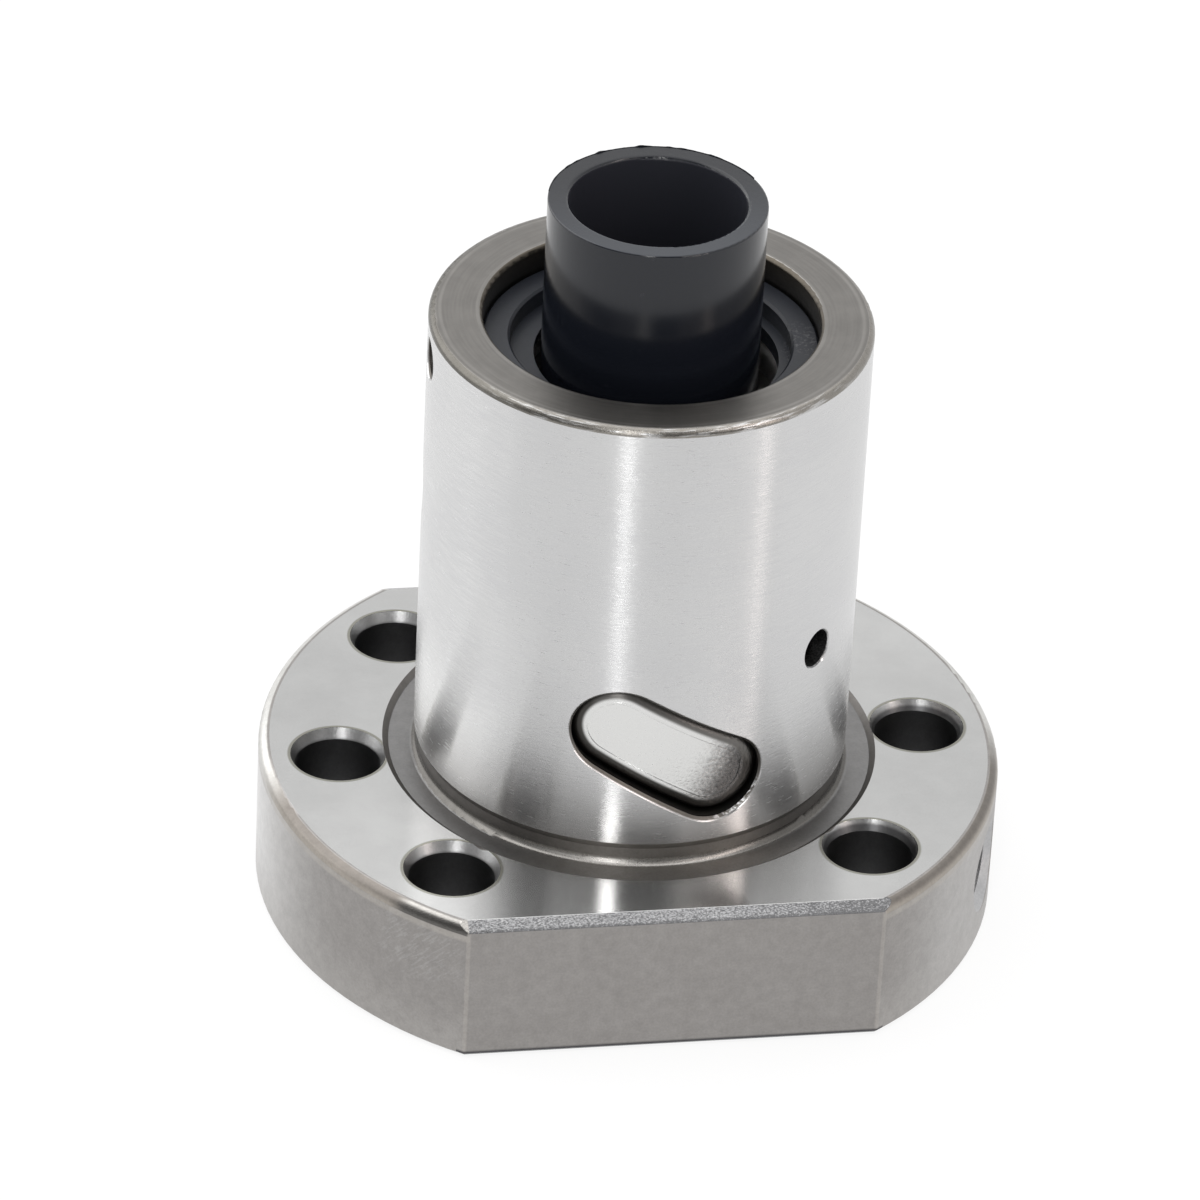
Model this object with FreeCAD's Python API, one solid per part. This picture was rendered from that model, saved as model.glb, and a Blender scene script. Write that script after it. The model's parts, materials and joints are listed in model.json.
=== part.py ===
import FreeCAD
import Part
import math
import os
from FreeCAD import Vector

# Flanged ball screw nut for a 16 mm screw with 5 mm right-hand lead, on its transport sleeve.
# Millimetres. The origin is the centre of the flange's lower face, +Z runs along the screw
# axis and the flange's two flats face -Y and +Y. Angles are degrees about Z from +X.

# Ball track and circuits
LEAD = 5.0
BALL_D = 3.175
BALL_CIRCLE_D = 17.05
LAND_D = 17.2               # bore of the nut between the turns of the track
TRACK_CONFORMITY = 1.04     # radius of a track flank over the ball's radius
TRACK_CLEARANCE = 0.02      # play between a ball and a flank
TRACK_Z = 1.7               # height of the track's first turn at angle 0
TRACK_TURNS = 8
CIRCUITS = 3
BALLS_PER_CIRCUIT = 16

# Flange
FLANGE_D = 48.0
FLANGE_T = 10.0
FLATS_ACROSS = 40.0
RIM_EDGE = 0.7              # radius of the rim's rounded upper edge
FLAT_EDGE = 0.47            # height of the break along a flat's upper edge
FLAT_EDGE_IN = 0.85
BASE_EDGE = 0.3
BOLT_CIRCLE_D = 38.0
BOLT_HOLE_D = 5.5
BOLT_HOLE_EDGE = 0.33
BOLT_HOLE_EDGE_DEPTH = 0.7
BOLT_ANGLES = (0, 45, 135, 180, 225, 315)

# Cylindrical body, and the grinding relief where it meets the flange
NUT_LENGTH = 42.0
BODY_D = 28.0
BODY_EDGE = 0.5             # radius of the plain end's rounded edge
SEAM_ANGLE = 90.0           # where the turned surfaces close, clear of pockets and holes
RELIEF_D = 32.0
RELIEF_NECK_D = 27.5
RELIEF_DEPTH = 0.3
RELIEF_LIP = 0.4
RELIEF_FILLET = 0.5
RELIEF_TOP = 11.4
RELIEF_RUNOUT = 0.5

# Holes drilled from the side
OIL_PORT_ANGLE = -22.5
OIL_PORT_Z = FLANGE_T / 2
OIL_PORT_D = 5.0            # tap drill of the M6 thread
OIL_PORT_DEPTH = 8.0
OIL_PORT_EDGE = 0.65
OIL_PASSAGE_D = 1.8
DRILL_POINT = 31.0          # degrees between a drill's tip and its face
CROSS_HOLE_ANGLE = -45.0
CROSS_HOLE_Z = 22.9
CROSS_HOLE_D = 2.5
CROSS_HOLE_EDGE = 0.15

# Wiper seats, wipers and the wiper's set screw
SEAT_D = 21.2
SEAT_DEPTH = 3.9
SEAT_EDGE = 0.3
WIPER_D = 21.16
WIPER_T = 2.2
WIPER_HOLE_D = 16.2         # clears the screw's land
WIPER_STEP_D = 17.7         # sunk step round the hole, on the outer side
WIPER_STEP_DEPTH = 1.2
WIPER_EDGE = 0.15
WIPER_LIP_R = 1.2           # section of the helical lip that runs in the screw's groove
WIPER_GROOVE_H = 1.4        # groove in the wiper's edge that takes the set screw's point
WIPER_GROOVE_DEPTH = 0.3
WIPER_GROOVE_HALF = 0.4
SET_SCREW_ANGLE = 180.0
SET_SCREW_D = 2.44          # core of the M3 thread
SET_SCREW_HOLE_D = 2.5
SET_SCREW_HOLE_EDGE = 0.2
SET_SCREW_LENGTH = 3.0
SET_SCREW_SOCKET = 1.5
SET_SCREW_SOCKET_DEPTH = 1.3
SET_SCREW_EDGE = 0.2
SET_SCREW_PLAY = 0.04

# Return deflectors: slanted obround inserts, one for each circuit
POCKET_R = 3.0
POCKET_REACH_Y = 3.06       # end centres, sideways from the pocket's middle
POCKET_REACH_Z = 1.82       # end centres, the right-hand one lower
POCKET_DROP = 0.17          # how far the pocket's middle lies below the middle of the return
POCKET_EDGE = 0.25
DEFLECTOR_END_PLAY = 0.03
DEFLECTOR_RECESS = 0.6
DEFLECTOR_EDGE = 0.95
RETURN_HALF_ANGLE = 34.0    # half of the arc on which balls cross to the turn below
RETURN_RISE = 1.22          # lift of the ball path over the screw's land
RETURN_CHANNEL_R = 1.69
CHANNEL_HALF_ANGLE = 56.0
CHANNEL_POINTS = 13

# Transport sleeve
SLEEVE_D = 13.75
SLEEVE_BORE_D = 11.1
SLEEVE_LENGTH = 50.2
SLEEVE_EDGE = 0.12
SLEEVE_BORE_EDGE = 0.25

PATH_STEPS = 720            # samples used to measure a circuit's length
CUT_OVER = 1.0              # how far a cutting tool runs past the faces it opens
SAME = 1e-3                 # lengths closer than this are equal
BALL_R = BALL_D / 2
BALL_CIRCLE_R = BALL_CIRCLE_D / 2
LAND_R = LAND_D / 2
BODY_R = BODY_D / 2
FLANGE_R = FLANGE_D / 2
SEAT_R = SEAT_D / 2
CIRCUIT_STEP_ANGLE = 360.0 / CIRCUITS
CIRCUIT_STEP_Z = LEAD * (1 + 1 / CIRCUITS)
FIRST_DEFLECTOR_ANGLE = -90.0
FIRST_DEFLECTOR_Z = TRACK_Z + LEAD * (2.5 + 1 + FIRST_DEFLECTOR_ANGLE / 360)
UPPER_SEAT_Z = NUT_LENGTH - SEAT_DEPTH
LOWER_SEAT_Z = SEAT_DEPTH
AXIS = Vector(0, 0, 1)
ORIGIN = Vector(0, 0, 0)


def turned(points):
    """Solid turned about Z from corner points given as (radius, height)."""
    corners = [Vector(r, 0, z) for r, z in points]
    section = Part.Face(Part.makePolygon(corners + corners[:1]))
    return section.revolve(ORIGIN, AXIS, 360)


def rounded(shape, radius, height, edge):
    """Copy of a turned solid with one of its circles rounded."""
    circle = next(e for e in shape.Edges if isinstance(e.Curve, Part.Circle)
                  and abs(e.Curve.Radius - radius) < SAME and abs(e.Curve.Center.z - height) < SAME)
    return shape.makeFillet(edge, [circle])


def drilled(points, angle, height):
    """Solid turned about a radial axis from (distance from the screw axis, radius) points."""
    corners = [Vector(x, radius, 0) for x, radius in points]
    section = Part.Face(Part.makePolygon(corners + corners[:1]))
    tool = section.revolve(ORIGIN, Vector(1, 0, 0), 360)
    return placed(tool, angle, height)


def placed(shape, angle, height):
    """Copy of a shape modelled at angle 0, turned about Z and lifted."""
    copy = shape.copy()
    copy.rotate(ORIGIN, AXIS, angle)
    copy.translate(Vector(0, 0, height))
    return copy


def cylinder(radius, low, high):
    return Part.makeCylinder(radius, high - low, Vector(0, 0, low))


def only_solid(shape):
    return shape.Solids[0]


def track_sweep(section, first_turn, turns):
    """Section in the XZ plane swept along the screw's helix, from a turn that may be a fraction."""
    helix = Part.makeHelix(LEAD, LEAD * turns, BALL_CIRCLE_R)
    lead_angle = math.degrees(math.atan(LEAD / (math.pi * BALL_CIRCLE_D)))
    section.rotate(Vector(BALL_CIRCLE_R, 0, 0), Vector(1, 0, 0), lead_angle)
    sweep = Part.Wire(helix.Edges).makePipeShell([section], True, True)
    return placed(sweep, 360 * first_turn, TRACK_Z + LEAD * first_turn)


def gothic_arch():
    """Pointed track section: two arcs, each a little larger than the ball."""
    flank_r = TRACK_CONFORMITY * BALL_R
    offset = (flank_r - BALL_R - TRACK_CLEARANCE) / math.sqrt(2)
    centre_x = BALL_CIRCLE_R - offset
    apex_angle = math.asin(offset / flank_r)
    middle_angle = (apex_angle + math.pi / 2) / 2
    apex = Vector(centre_x + flank_r * math.cos(apex_angle), 0, 0)
    upper_end = Vector(centre_x, 0, flank_r - offset)
    middle_x = centre_x + flank_r * math.cos(middle_angle)
    upper_middle = Vector(middle_x, 0, flank_r * math.sin(middle_angle) - offset)
    lower_end = Vector(upper_end.x, 0, -upper_end.z)
    lower_middle = Vector(upper_middle.x, 0, -upper_middle.z)
    lower_flank = Part.Arc(lower_end, lower_middle, apex).toShape()
    upper_flank = Part.Arc(apex, upper_middle, upper_end).toShape()
    return Part.Wire([lower_flank, upper_flank, Part.makeLine(upper_end, lower_end)])


def obround(radius, end_play):
    """Slanted obround face in the YZ plane, its right-hand end the lower one."""
    reach = math.hypot(POCKET_REACH_Y, POCKET_REACH_Z) - end_play
    along = Vector(0, POCKET_REACH_Y, -POCKET_REACH_Z).normalize()
    across = Vector(0, POCKET_REACH_Z, POCKET_REACH_Y).normalize() * radius
    middle = Vector(0, 0, -POCKET_DROP)
    right = middle + along * reach
    left = middle - along * reach
    right_tip = middle + along * (reach + radius)
    left_tip = middle - along * (reach + radius)
    edges = [
        Part.makeLine(left + across, right + across),
        Part.Arc(right + across, right_tip, right - across).toShape(),
        Part.makeLine(right - across, left - across),
        Part.Arc(left - across, left_tip, left + across).toShape(),
    ]
    return Part.Face(Part.Wire(edges))


def radial_prism(face, inner, outer):
    prism = face.extrude(Vector(outer - inner, 0, 0))
    prism.translate(Vector(inner, 0, 0))
    return prism


def edges_on_cylinder(shape, radius):
    """Edges that lie on a cylinder about Z and aren't circles."""
    found = []
    for edge in shape.Edges:
        points = edge.discretize(5)
        on_it = all(abs(math.hypot(p.x, p.y) - radius) < SAME for p in points)
        level = max(p.z for p in points) - min(p.z for p in points) < 1e-6
        if on_it and not level:
            found.append(edge)
    return found


def deflector_places():
    for circuit in range(CIRCUITS):
        angle = FIRST_DEFLECTOR_ANGLE + CIRCUIT_STEP_ANGLE * circuit
        yield angle, FIRST_DEFLECTOR_Z + CIRCUIT_STEP_Z * circuit


def turned_blank():
    blank = turned([
        (SEAT_R + SEAT_EDGE, 0),
        (FLANGE_R - BASE_EDGE, 0),
        (FLANGE_R, BASE_EDGE),
        (FLANGE_R, FLANGE_T),
        (BODY_R, FLANGE_T),
        (BODY_R, NUT_LENGTH),
        (SEAT_R, NUT_LENGTH),
        (SEAT_R, UPPER_SEAT_Z),
        (LAND_R, UPPER_SEAT_Z),
        (LAND_R, LOWER_SEAT_Z),
        (SEAT_R, LOWER_SEAT_Z),
        (SEAT_R, SEAT_EDGE),
    ])
    blank = rounded(blank, FLANGE_R, FLANGE_T, RIM_EDGE)
    blank = rounded(blank, BODY_R, NUT_LENGTH, BODY_EDGE)
    return rounded(blank, SEAT_R, NUT_LENGTH, SEAT_EDGE)


def flat_cutter(side):
    """Everything outside one flat, with the flat's upper and lower edge breaks."""
    flat = FLATS_ACROSS / 2
    outside = FLANGE_R + CUT_OVER
    outline = [
        (outside, -BASE_EDGE),
        (flat - 2 * BASE_EDGE, -BASE_EDGE),
        (flat, BASE_EDGE),
        (flat, FLANGE_T - FLAT_EDGE),
        (flat - 2 * FLAT_EDGE_IN, FLANGE_T + FLAT_EDGE),
        (outside, FLANGE_T + FLAT_EDGE),
    ]
    corners = [Vector(-outside, side * y, z) for y, z in outline]
    face = Part.Face(Part.makePolygon(corners + corners[:1]))
    return face.extrude(Vector(2 * outside, 0, 0))


def relief_cutter():
    """Undercut that lets the grinding wheel run out in the corner at the flange."""
    floor_z = FLANGE_T - RELIEF_DEPTH
    neck_r = RELIEF_NECK_D / 2
    outer_r = RELIEF_D / 2 + RELIEF_LIP
    centre = Vector(neck_r + RELIEF_FILLET, 0, floor_z + RELIEF_FILLET)
    diagonal = Vector(-1, 0, -1).normalize() * RELIEF_FILLET
    lip_top = Vector(outer_r, 0, FLANGE_T + RELIEF_DEPTH)
    floor_outer = Vector(RELIEF_D / 2 - RELIEF_LIP, 0, floor_z)
    floor_inner = Vector(centre.x, 0, floor_z)
    neck_foot = Vector(neck_r, 0, centre.z)
    neck_top = Vector(neck_r, 0, RELIEF_TOP - RELIEF_RUNOUT)
    runout_top = Vector(BODY_R, 0, RELIEF_TOP)
    outer_top = Vector(outer_r, 0, RELIEF_TOP)
    edges = [
        Part.makeLine(lip_top, floor_outer),
        Part.makeLine(floor_outer, floor_inner),
        Part.Arc(floor_inner, centre + diagonal, neck_foot).toShape(),
        Part.makeLine(neck_foot, neck_top),
        Part.makeLine(neck_top, runout_top),
        Part.makeLine(runout_top, outer_top),
        Part.makeLine(outer_top, lip_top),
    ]
    return Part.Face(Part.Wire(edges)).revolve(ORIGIN, AXIS, 360)


def bolt_hole():
    hole_r = BOLT_HOLE_D / 2
    wide_r = hole_r + 2 * BOLT_HOLE_EDGE
    tool = turned([
        (0, -BOLT_HOLE_EDGE_DEPTH),
        (wide_r, -BOLT_HOLE_EDGE_DEPTH),
        (hole_r, BOLT_HOLE_EDGE_DEPTH),
        (hole_r, FLANGE_T - BOLT_HOLE_EDGE_DEPTH),
        (wide_r, FLANGE_T + BOLT_HOLE_EDGE_DEPTH),
        (0, FLANGE_T + BOLT_HOLE_EDGE_DEPTH),
    ])
    tool.translate(Vector(BOLT_CIRCLE_D / 2, 0, 0))
    return tool


def edged_hole(diameter, inner, outer, edge, angle, height):
    """Radial drill from inside out, with a 45 degree edge break at the outer surface."""
    radius = diameter / 2
    return drilled([
        (inner, 0),
        (inner, radius),
        (outer - edge, radius),
        (outer + edge, radius + 2 * edge),
        (outer + edge, 0),
    ], angle, height)


def oil_port_cutter():
    port_r = OIL_PORT_D / 2
    passage_r = OIL_PASSAGE_D / 2
    floor = FLANGE_R - OIL_PORT_DEPTH
    point = (port_r - passage_r) * math.tan(math.radians(DRILL_POINT))
    return drilled([
        (LAND_R - CUT_OVER, 0),
        (LAND_R - CUT_OVER, passage_r),
        (floor - point, passage_r),
        (floor, port_r),
        (FLANGE_R - OIL_PORT_EDGE, port_r),
        (FLANGE_R + OIL_PORT_EDGE, port_r + 2 * OIL_PORT_EDGE),
        (FLANGE_R + OIL_PORT_EDGE, 0),
    ], OIL_PORT_ANGLE, OIL_PORT_Z)


def nut_body():
    body = placed(turned_blank(), SEAM_ANGLE, 0)
    pocket = radial_prism(obround(POCKET_R, 0), BALL_CIRCLE_R - BALL_D, BODY_R + CUT_OVER)
    for angle, height in deflector_places():
        body = body.cut(placed(pocket, angle, height))
    body = body.makeChamfer(POCKET_EDGE, edges_on_cylinder(body, BODY_R))
    body = body.cut(relief_cutter())
    for side in (-1, 1):
        body = body.cut(flat_cutter(side))
    for angle in BOLT_ANGLES:
        body = body.cut(placed(bolt_hole(), angle, 0))
    body = body.cut(oil_port_cutter())
    cross_start = LAND_R - CUT_OVER
    body = body.cut(edged_hole(CROSS_HOLE_D, cross_start, BODY_R, CROSS_HOLE_EDGE,
                               CROSS_HOLE_ANGLE, CROSS_HOLE_Z))
    screw_start = SEAT_R - CUT_OVER
    body = body.cut(edged_hole(SET_SCREW_HOLE_D, screw_start, BODY_R, SET_SCREW_HOLE_EDGE,
                               SET_SCREW_ANGLE, UPPER_SEAT_Z + WIPER_GROOVE_H))
    body = body.cut(track_sweep(gothic_arch(), 0, TRACK_TURNS))
    return only_solid(body)


def return_path(angle):
    """Ball centre at an angle from the deflector's middle, as (radius, height)."""
    height = LEAD * angle / 360
    if abs(angle) >= RETURN_HALF_ANGLE:
        return BALL_CIRCLE_R, height - math.copysign(LEAD / 2, angle)
    share = (angle + RETURN_HALF_ANGLE) / (2 * RETURN_HALF_ANGLE)
    eased = share * share * (3 - 2 * share)
    lift = RETURN_RISE * (1 - math.cos(2 * math.pi * share)) / 2
    return BALL_CIRCLE_R + lift, height + LEAD * (0.5 - eased)


def path_point(angle):
    radius, height = return_path(angle)
    turn = math.radians(angle)
    return Vector(radius * math.cos(turn), radius * math.sin(turn), height)


def return_channel():
    """S-shaped channel that lifts the balls out of the track and one turn down."""
    step = 2 * CHANNEL_HALF_ANGLE / (CHANNEL_POINTS - 1)
    points = [path_point(-CHANNEL_HALF_ANGLE + step * i) for i in range(CHANNEL_POINTS)]
    curve = Part.BSplineCurve()
    curve.interpolate(points)
    start = curve.value(curve.FirstParameter)
    heading = curve.tangent(curve.FirstParameter)[0]
    section = Part.Wire([Part.makeCircle(RETURN_CHANNEL_R, start, heading)])
    return Part.Wire([curve.toShape()]).makePipeShell([section], True, False)


def deflector():
    face_r = BODY_R - DEFLECTOR_RECESS
    insert = radial_prism(obround(POCKET_R, DEFLECTOR_END_PLAY), BALL_CIRCLE_R - BALL_D, BODY_R)
    tall = LEAD + POCKET_R
    insert = insert.common(cylinder(face_r, -tall, tall))
    insert = only_solid(insert.cut(cylinder(LAND_R, -tall, tall)))
    insert = insert.makeFillet(DEFLECTOR_EDGE, edges_on_cylinder(insert, face_r))
    return only_solid(insert.cut(return_channel()))


def wiper(seat_z, outward):
    """Plastic wiper ring on its seat, its helical lip in line with the ball track."""
    edge_r = WIPER_D / 2
    hole_r = WIPER_HOLE_D / 2
    step_r = WIPER_STEP_D / 2
    step_h = WIPER_T - WIPER_STEP_DEPTH
    groove_r = edge_r - WIPER_GROOVE_DEPTH
    ring = turned([(r, seat_z + outward * h) for r, h in [
        (hole_r, 0),
        (edge_r, 0),
        (edge_r, WIPER_GROOVE_H - WIPER_GROOVE_HALF),
        (groove_r, WIPER_GROOVE_H),
        (edge_r, WIPER_GROOVE_H + WIPER_GROOVE_HALF),
        (edge_r, WIPER_T - WIPER_EDGE),
        (edge_r - WIPER_EDGE, WIPER_T),
        (step_r + WIPER_EDGE, WIPER_T),
        (step_r, WIPER_T - WIPER_EDGE),
        (step_r, step_h),
        (hole_r, step_h),
    ]])
    step_z = seat_z + outward * step_h
    low = min(seat_z, step_z)
    high = max(seat_z, step_z)
    first_turn = ((low + high) / 2 - TRACK_Z) / LEAD - 0.5
    centre = Vector(BALL_CIRCLE_R, 0, 0)
    section = Part.Wire([Part.makeCircle(WIPER_LIP_R, centre, Vector(0, 1, 0))])
    lip = track_sweep(section, first_turn, 1)
    lip = lip.common(cylinder(hole_r + 2 * WIPER_EDGE, low, high))
    return only_solid(ring.fuse(lip).removeSplitter())


def set_screw():
    tip = WIPER_D / 2 - WIPER_GROOVE_DEPTH + SET_SCREW_PLAY
    head = tip + SET_SCREW_LENGTH
    radius = SET_SCREW_D / 2
    height = UPPER_SEAT_Z + WIPER_GROOVE_H
    screw = drilled([
        (tip, 0),
        (tip + radius, radius),
        (head - SET_SCREW_EDGE, radius),
        (head, radius - SET_SCREW_EDGE),
        (head, 0),
    ], SET_SCREW_ANGLE, height)
    corner_r = SET_SCREW_SOCKET / math.sqrt(3)
    corners = []
    for side in range(6):
        turn = math.radians(60 * side)
        corners.append(Vector(head, corner_r * math.cos(turn), corner_r * math.sin(turn)))
    socket = Part.Face(Part.makePolygon(corners + corners[:1]))
    socket = socket.extrude(Vector(-SET_SCREW_SOCKET_DEPTH, 0, 0))
    return only_solid(screw.cut(placed(socket, SET_SCREW_ANGLE, height)))


def transport_sleeve():
    outer_r = SLEEVE_D / 2
    bore_r = SLEEVE_BORE_D / 2
    sleeve = turned([
        (bore_r, 0),
        (outer_r, 0),
        (outer_r, SLEEVE_LENGTH),
        (bore_r, SLEEVE_LENGTH),
    ])
    for height in (0, SLEEVE_LENGTH):
        sleeve = rounded(sleeve, outer_r, height, SLEEVE_EDGE)
        sleeve = rounded(sleeve, bore_r, height, SLEEVE_BORE_EDGE)
    return only_solid(sleeve)


def ball_centres():
    """Evenly spaced ball centres round one closed circuit, its deflector at angle 0."""
    step = 360.0 / PATH_STEPS
    points = [path_point(-180 + step * i) for i in range(PATH_STEPS + 1)]
    lengths = [0.0]
    for near, far in zip(points, points[1:]):
        lengths.append(lengths[-1] + near.distanceToPoint(far))
    pitch = lengths[-1] / BALLS_PER_CIRCUIT
    centres = []
    for ball in range(BALLS_PER_CIRCUIT):
        target = pitch * (ball + 0.5)
        index = next(i for i, length in enumerate(lengths) if length > target)
        share = (target - lengths[index - 1]) / (lengths[index] - lengths[index - 1])
        centres.append(points[index - 1] + (points[index] - points[index - 1]) * share)
    return centres


def save(name, shape):
    shape.exportStep("parts/" + name + ".step")


os.makedirs("parts", exist_ok=True)
save("nut_body", nut_body())
save("upper_wiper", wiper(UPPER_SEAT_Z, 1))
save("lower_wiper", wiper(LOWER_SEAT_Z, -1))
save("upper_wiper_set_screw", set_screw())
save("transport_sleeve", transport_sleeve())
insert = deflector()
centres = ball_centres()
for number, (angle, height) in enumerate(deflector_places(), start=1):
    save("deflector_%d" % number, placed(insert, angle, height))
    for ball, centre in enumerate(centres, start=1):
        sphere = Part.makeSphere(BALL_R, centre)
        save("ball_%d_%02d" % (number, ball), placed(sphere, angle, height))
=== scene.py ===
# %% [markdown]
# # A ball screw nut on its transport sleeve
#
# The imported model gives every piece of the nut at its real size: the flanged steel body, three
# return inserts, two wipers, a set screw, forty-eight balls and the black tube that keeps the
# balls in. Nothing here moves or resizes them. This lesson gives each surface its finish, adds
# a thread and a burr that are too fine for the solids, and sets up the camera and the light.

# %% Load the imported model
import json
import math
from types import SimpleNamespace

import bmesh
import bpy
from mathutils import Matrix, Vector


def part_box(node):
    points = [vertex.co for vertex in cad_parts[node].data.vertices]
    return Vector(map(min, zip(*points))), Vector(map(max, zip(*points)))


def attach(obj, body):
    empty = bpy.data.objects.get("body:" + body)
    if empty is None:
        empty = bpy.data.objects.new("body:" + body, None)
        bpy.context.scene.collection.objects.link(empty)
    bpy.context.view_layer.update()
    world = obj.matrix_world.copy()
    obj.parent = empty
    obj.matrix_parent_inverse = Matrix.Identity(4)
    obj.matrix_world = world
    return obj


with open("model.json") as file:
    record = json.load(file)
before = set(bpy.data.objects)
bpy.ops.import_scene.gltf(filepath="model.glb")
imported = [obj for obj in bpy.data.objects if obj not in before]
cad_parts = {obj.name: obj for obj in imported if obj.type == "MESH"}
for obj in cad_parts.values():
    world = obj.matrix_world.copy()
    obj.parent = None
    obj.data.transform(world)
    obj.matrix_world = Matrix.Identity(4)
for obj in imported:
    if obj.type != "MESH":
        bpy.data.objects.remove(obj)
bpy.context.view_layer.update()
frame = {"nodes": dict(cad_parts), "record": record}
MM = 0.001

# %% [markdown]
# ## Sizes read from the frame
#
# A finish has to know where one surface ends and the next begins. The boxes of the nodes and
# the mounts of the record hold most of these sizes, so they are read from there. The few that
# the frame doesn't name, such as the grinding relief, are written in millimetres where they are
# first needed.

# %% Sizes of the nut
mounts = {mount["name"]: mount for mount in frame["record"]["mounts"]}
nut_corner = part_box("nut_body")[1]
wiper_low, wiper_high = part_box("upper_wiper")
sleeve_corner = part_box("transport_sleeve")[1]
BODY_R = mounts["body_spigot"]["dims"]["r_mm"]
FLANGE_T = mounts["flange_seat"]["pos_m"][2] / MM
FLANGE_R = nut_corner.x / MM
FLAT_Y = nut_corner.y / MM
NUT_TOP = nut_corner.z / MM
SEAT_R = wiper_high.x / MM
UPPER_SEAT = wiper_low.z / MM
SLEEVE_R = sleeve_corner.x / MM
SLEEVE_TOP = sleeve_corner.z / MM
print("body", BODY_R, "flange", round(FLANGE_R, 2), "flat", round(FLAT_Y, 2), "top", round(NUT_TOP, 2))

# %% [markdown]
# ## The camera
#
# The photograph was taken from above and a little to the left with a long lens, and the camera
# was held slightly turned. A camera can be placed by typing its rotation, but an aim point, two
# angles, a distance and a roll say what was done, and are easier to correct one at a time.

# %% Camera
AIM = Vector((-2.297, 0.420, 20.606)) * MM
CAMERA_AZIMUTH = math.radians(-10.360)
CAMERA_ELEVATION = math.radians(32.720)
CAMERA_ROLL = math.radians(2.958)
CAMERA_DISTANCE = 482.997 * MM
LENS = 226.11
SENSOR = 36.0
CLIP_NEAR = 0.01
CLIP_FAR = 10


def direction(azimuth, elevation):
    """Unit vector from the object: azimuth 0 is the front, growing to the right."""
    flat = math.cos(elevation)
    return Vector((math.sin(azimuth) * flat, -math.cos(azimuth) * flat, math.sin(elevation)))


lens = bpy.data.cameras.new("camera")
lens.lens = LENS
lens.sensor_width = SENSOR
lens.clip_start = CLIP_NEAR
lens.clip_end = CLIP_FAR
camera = bpy.data.objects.new("camera", lens)
bpy.context.scene.collection.objects.link(camera)
back = direction(CAMERA_AZIMUTH, CAMERA_ELEVATION)
camera.location = AIM + back * CAMERA_DISTANCE
aimed = (-back).to_track_quat("-Z", "Y").to_matrix()
camera.rotation_euler = (aimed @ Matrix.Rotation(CAMERA_ROLL, 3, "Z")).to_euler()
bpy.context.scene.camera = camera
print("camera at", [round(c / MM, 2) for c in camera.location])

# %% [markdown]
# ## Shader maths as expressions
#
# A material is a graph of nodes, and a mask such as "on the ground cylinder, but not on its
# rounded edge" takes a dozen of them. Written one link at a time that is hard to read. This
# small class stands for one socket, so that `1 - mask` or `a * b` adds the Math node by itself.


# %% A socket that can be used in expressions
class Wire:
    def __init__(self, tree, socket=None):
        self.tree = tree
        self.socket = socket

    def node(self, kind, settings=None, values=None, output=0):
        """Adds a node, sets its settings, then its sockets, and gives one of its outputs."""
        made = self.tree.nodes.new(kind)
        for name, value in (settings or {}).items():
            setattr(made, name, value)
        for name, value in (values or {}).items():
            if isinstance(value, Wire):
                self.tree.links.new(value.socket, made.inputs[name])
            else:
                made.inputs[name].default_value = value
        return Wire(self.tree, made.outputs[output])

    def math(self, operation, first, second=0.0):
        return self.node("ShaderNodeMath", {"operation": operation}, {0: first, 1: second})

    def __add__(self, other):
        return self.math("ADD", self, other)

    def __radd__(self, other):
        return self.math("ADD", other, self)

    def __sub__(self, other):
        return self.math("SUBTRACT", self, other)

    def __rsub__(self, other):
        return self.math("SUBTRACT", other, self)

    def __mul__(self, other):
        return self.math("MULTIPLY", self, other)

    def __rmul__(self, other):
        return self.math("MULTIPLY", other, self)

    def __truediv__(self, other):
        return self.math("DIVIDE", self, other)

    def __abs__(self):
        return self.math("ABSOLUTE", self)

    def root(self):
        return self.math("SQRT", self)

    def rises(self, low, high):
        """0 below low, 1 above high, smooth between."""
        settings = {"interpolation_type": "SMOOTHSTEP"}
        return self.node("ShaderNodeMapRange", settings, {0: self, 1: low, 2: high})

    def falls(self, low, high):
        """1 below low, 0 above high, smooth between."""
        return 1 - self.rises(low, high)

    def within(self, low, high, soft):
        """1 from low to high, with both borders soft."""
        return self.rises(low - soft, low + soft) * self.falls(high - soft, high + soft)

    def scaled(self, x, y, z):
        """A vector stretched along each axis."""
        settings = {"operation": "MULTIPLY"}
        return self.node("ShaderNodeVectorMath", settings, {0: self, 1: (x, y, z)})

    def noise(self, scale, detail=2.0, roughness=0.5):
        """Noise from 0 to 1 on a vector of millimetres; scale is features per millimetre."""
        values = {"Vector": self, "Scale": scale, "Detail": detail, "Roughness": roughness}
        return self.node("ShaderNodeTexNoise", None, values)

    def blend(self, first, second):
        """A colour that goes from first to second as this value goes from 0 to 1."""
        settings = {"data_type": "RGBA"}
        return self.node("ShaderNodeMix", settings, {0: self, 6: first, 7: second}, 2)

    def bump(self, depth, strength):
        """A normal that is tilted by this height; depth is millimetres for a height of 1."""
        values = {"Strength": strength, "Distance": depth * MM, "Height": self}
        return self.node("ShaderNodeBump", None, values)


print("socket class ready")

# %% [markdown]
# ## Start and end of a material
#
# Every material below begins with the same two things, its output node and the place on the
# piece. Object coordinates give the place in the frame of the CAD model, because each piece's
# object stands at the origin. They are turned into millimetres at once, so that every number in
# a mask can be compared with a drawing.


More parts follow.
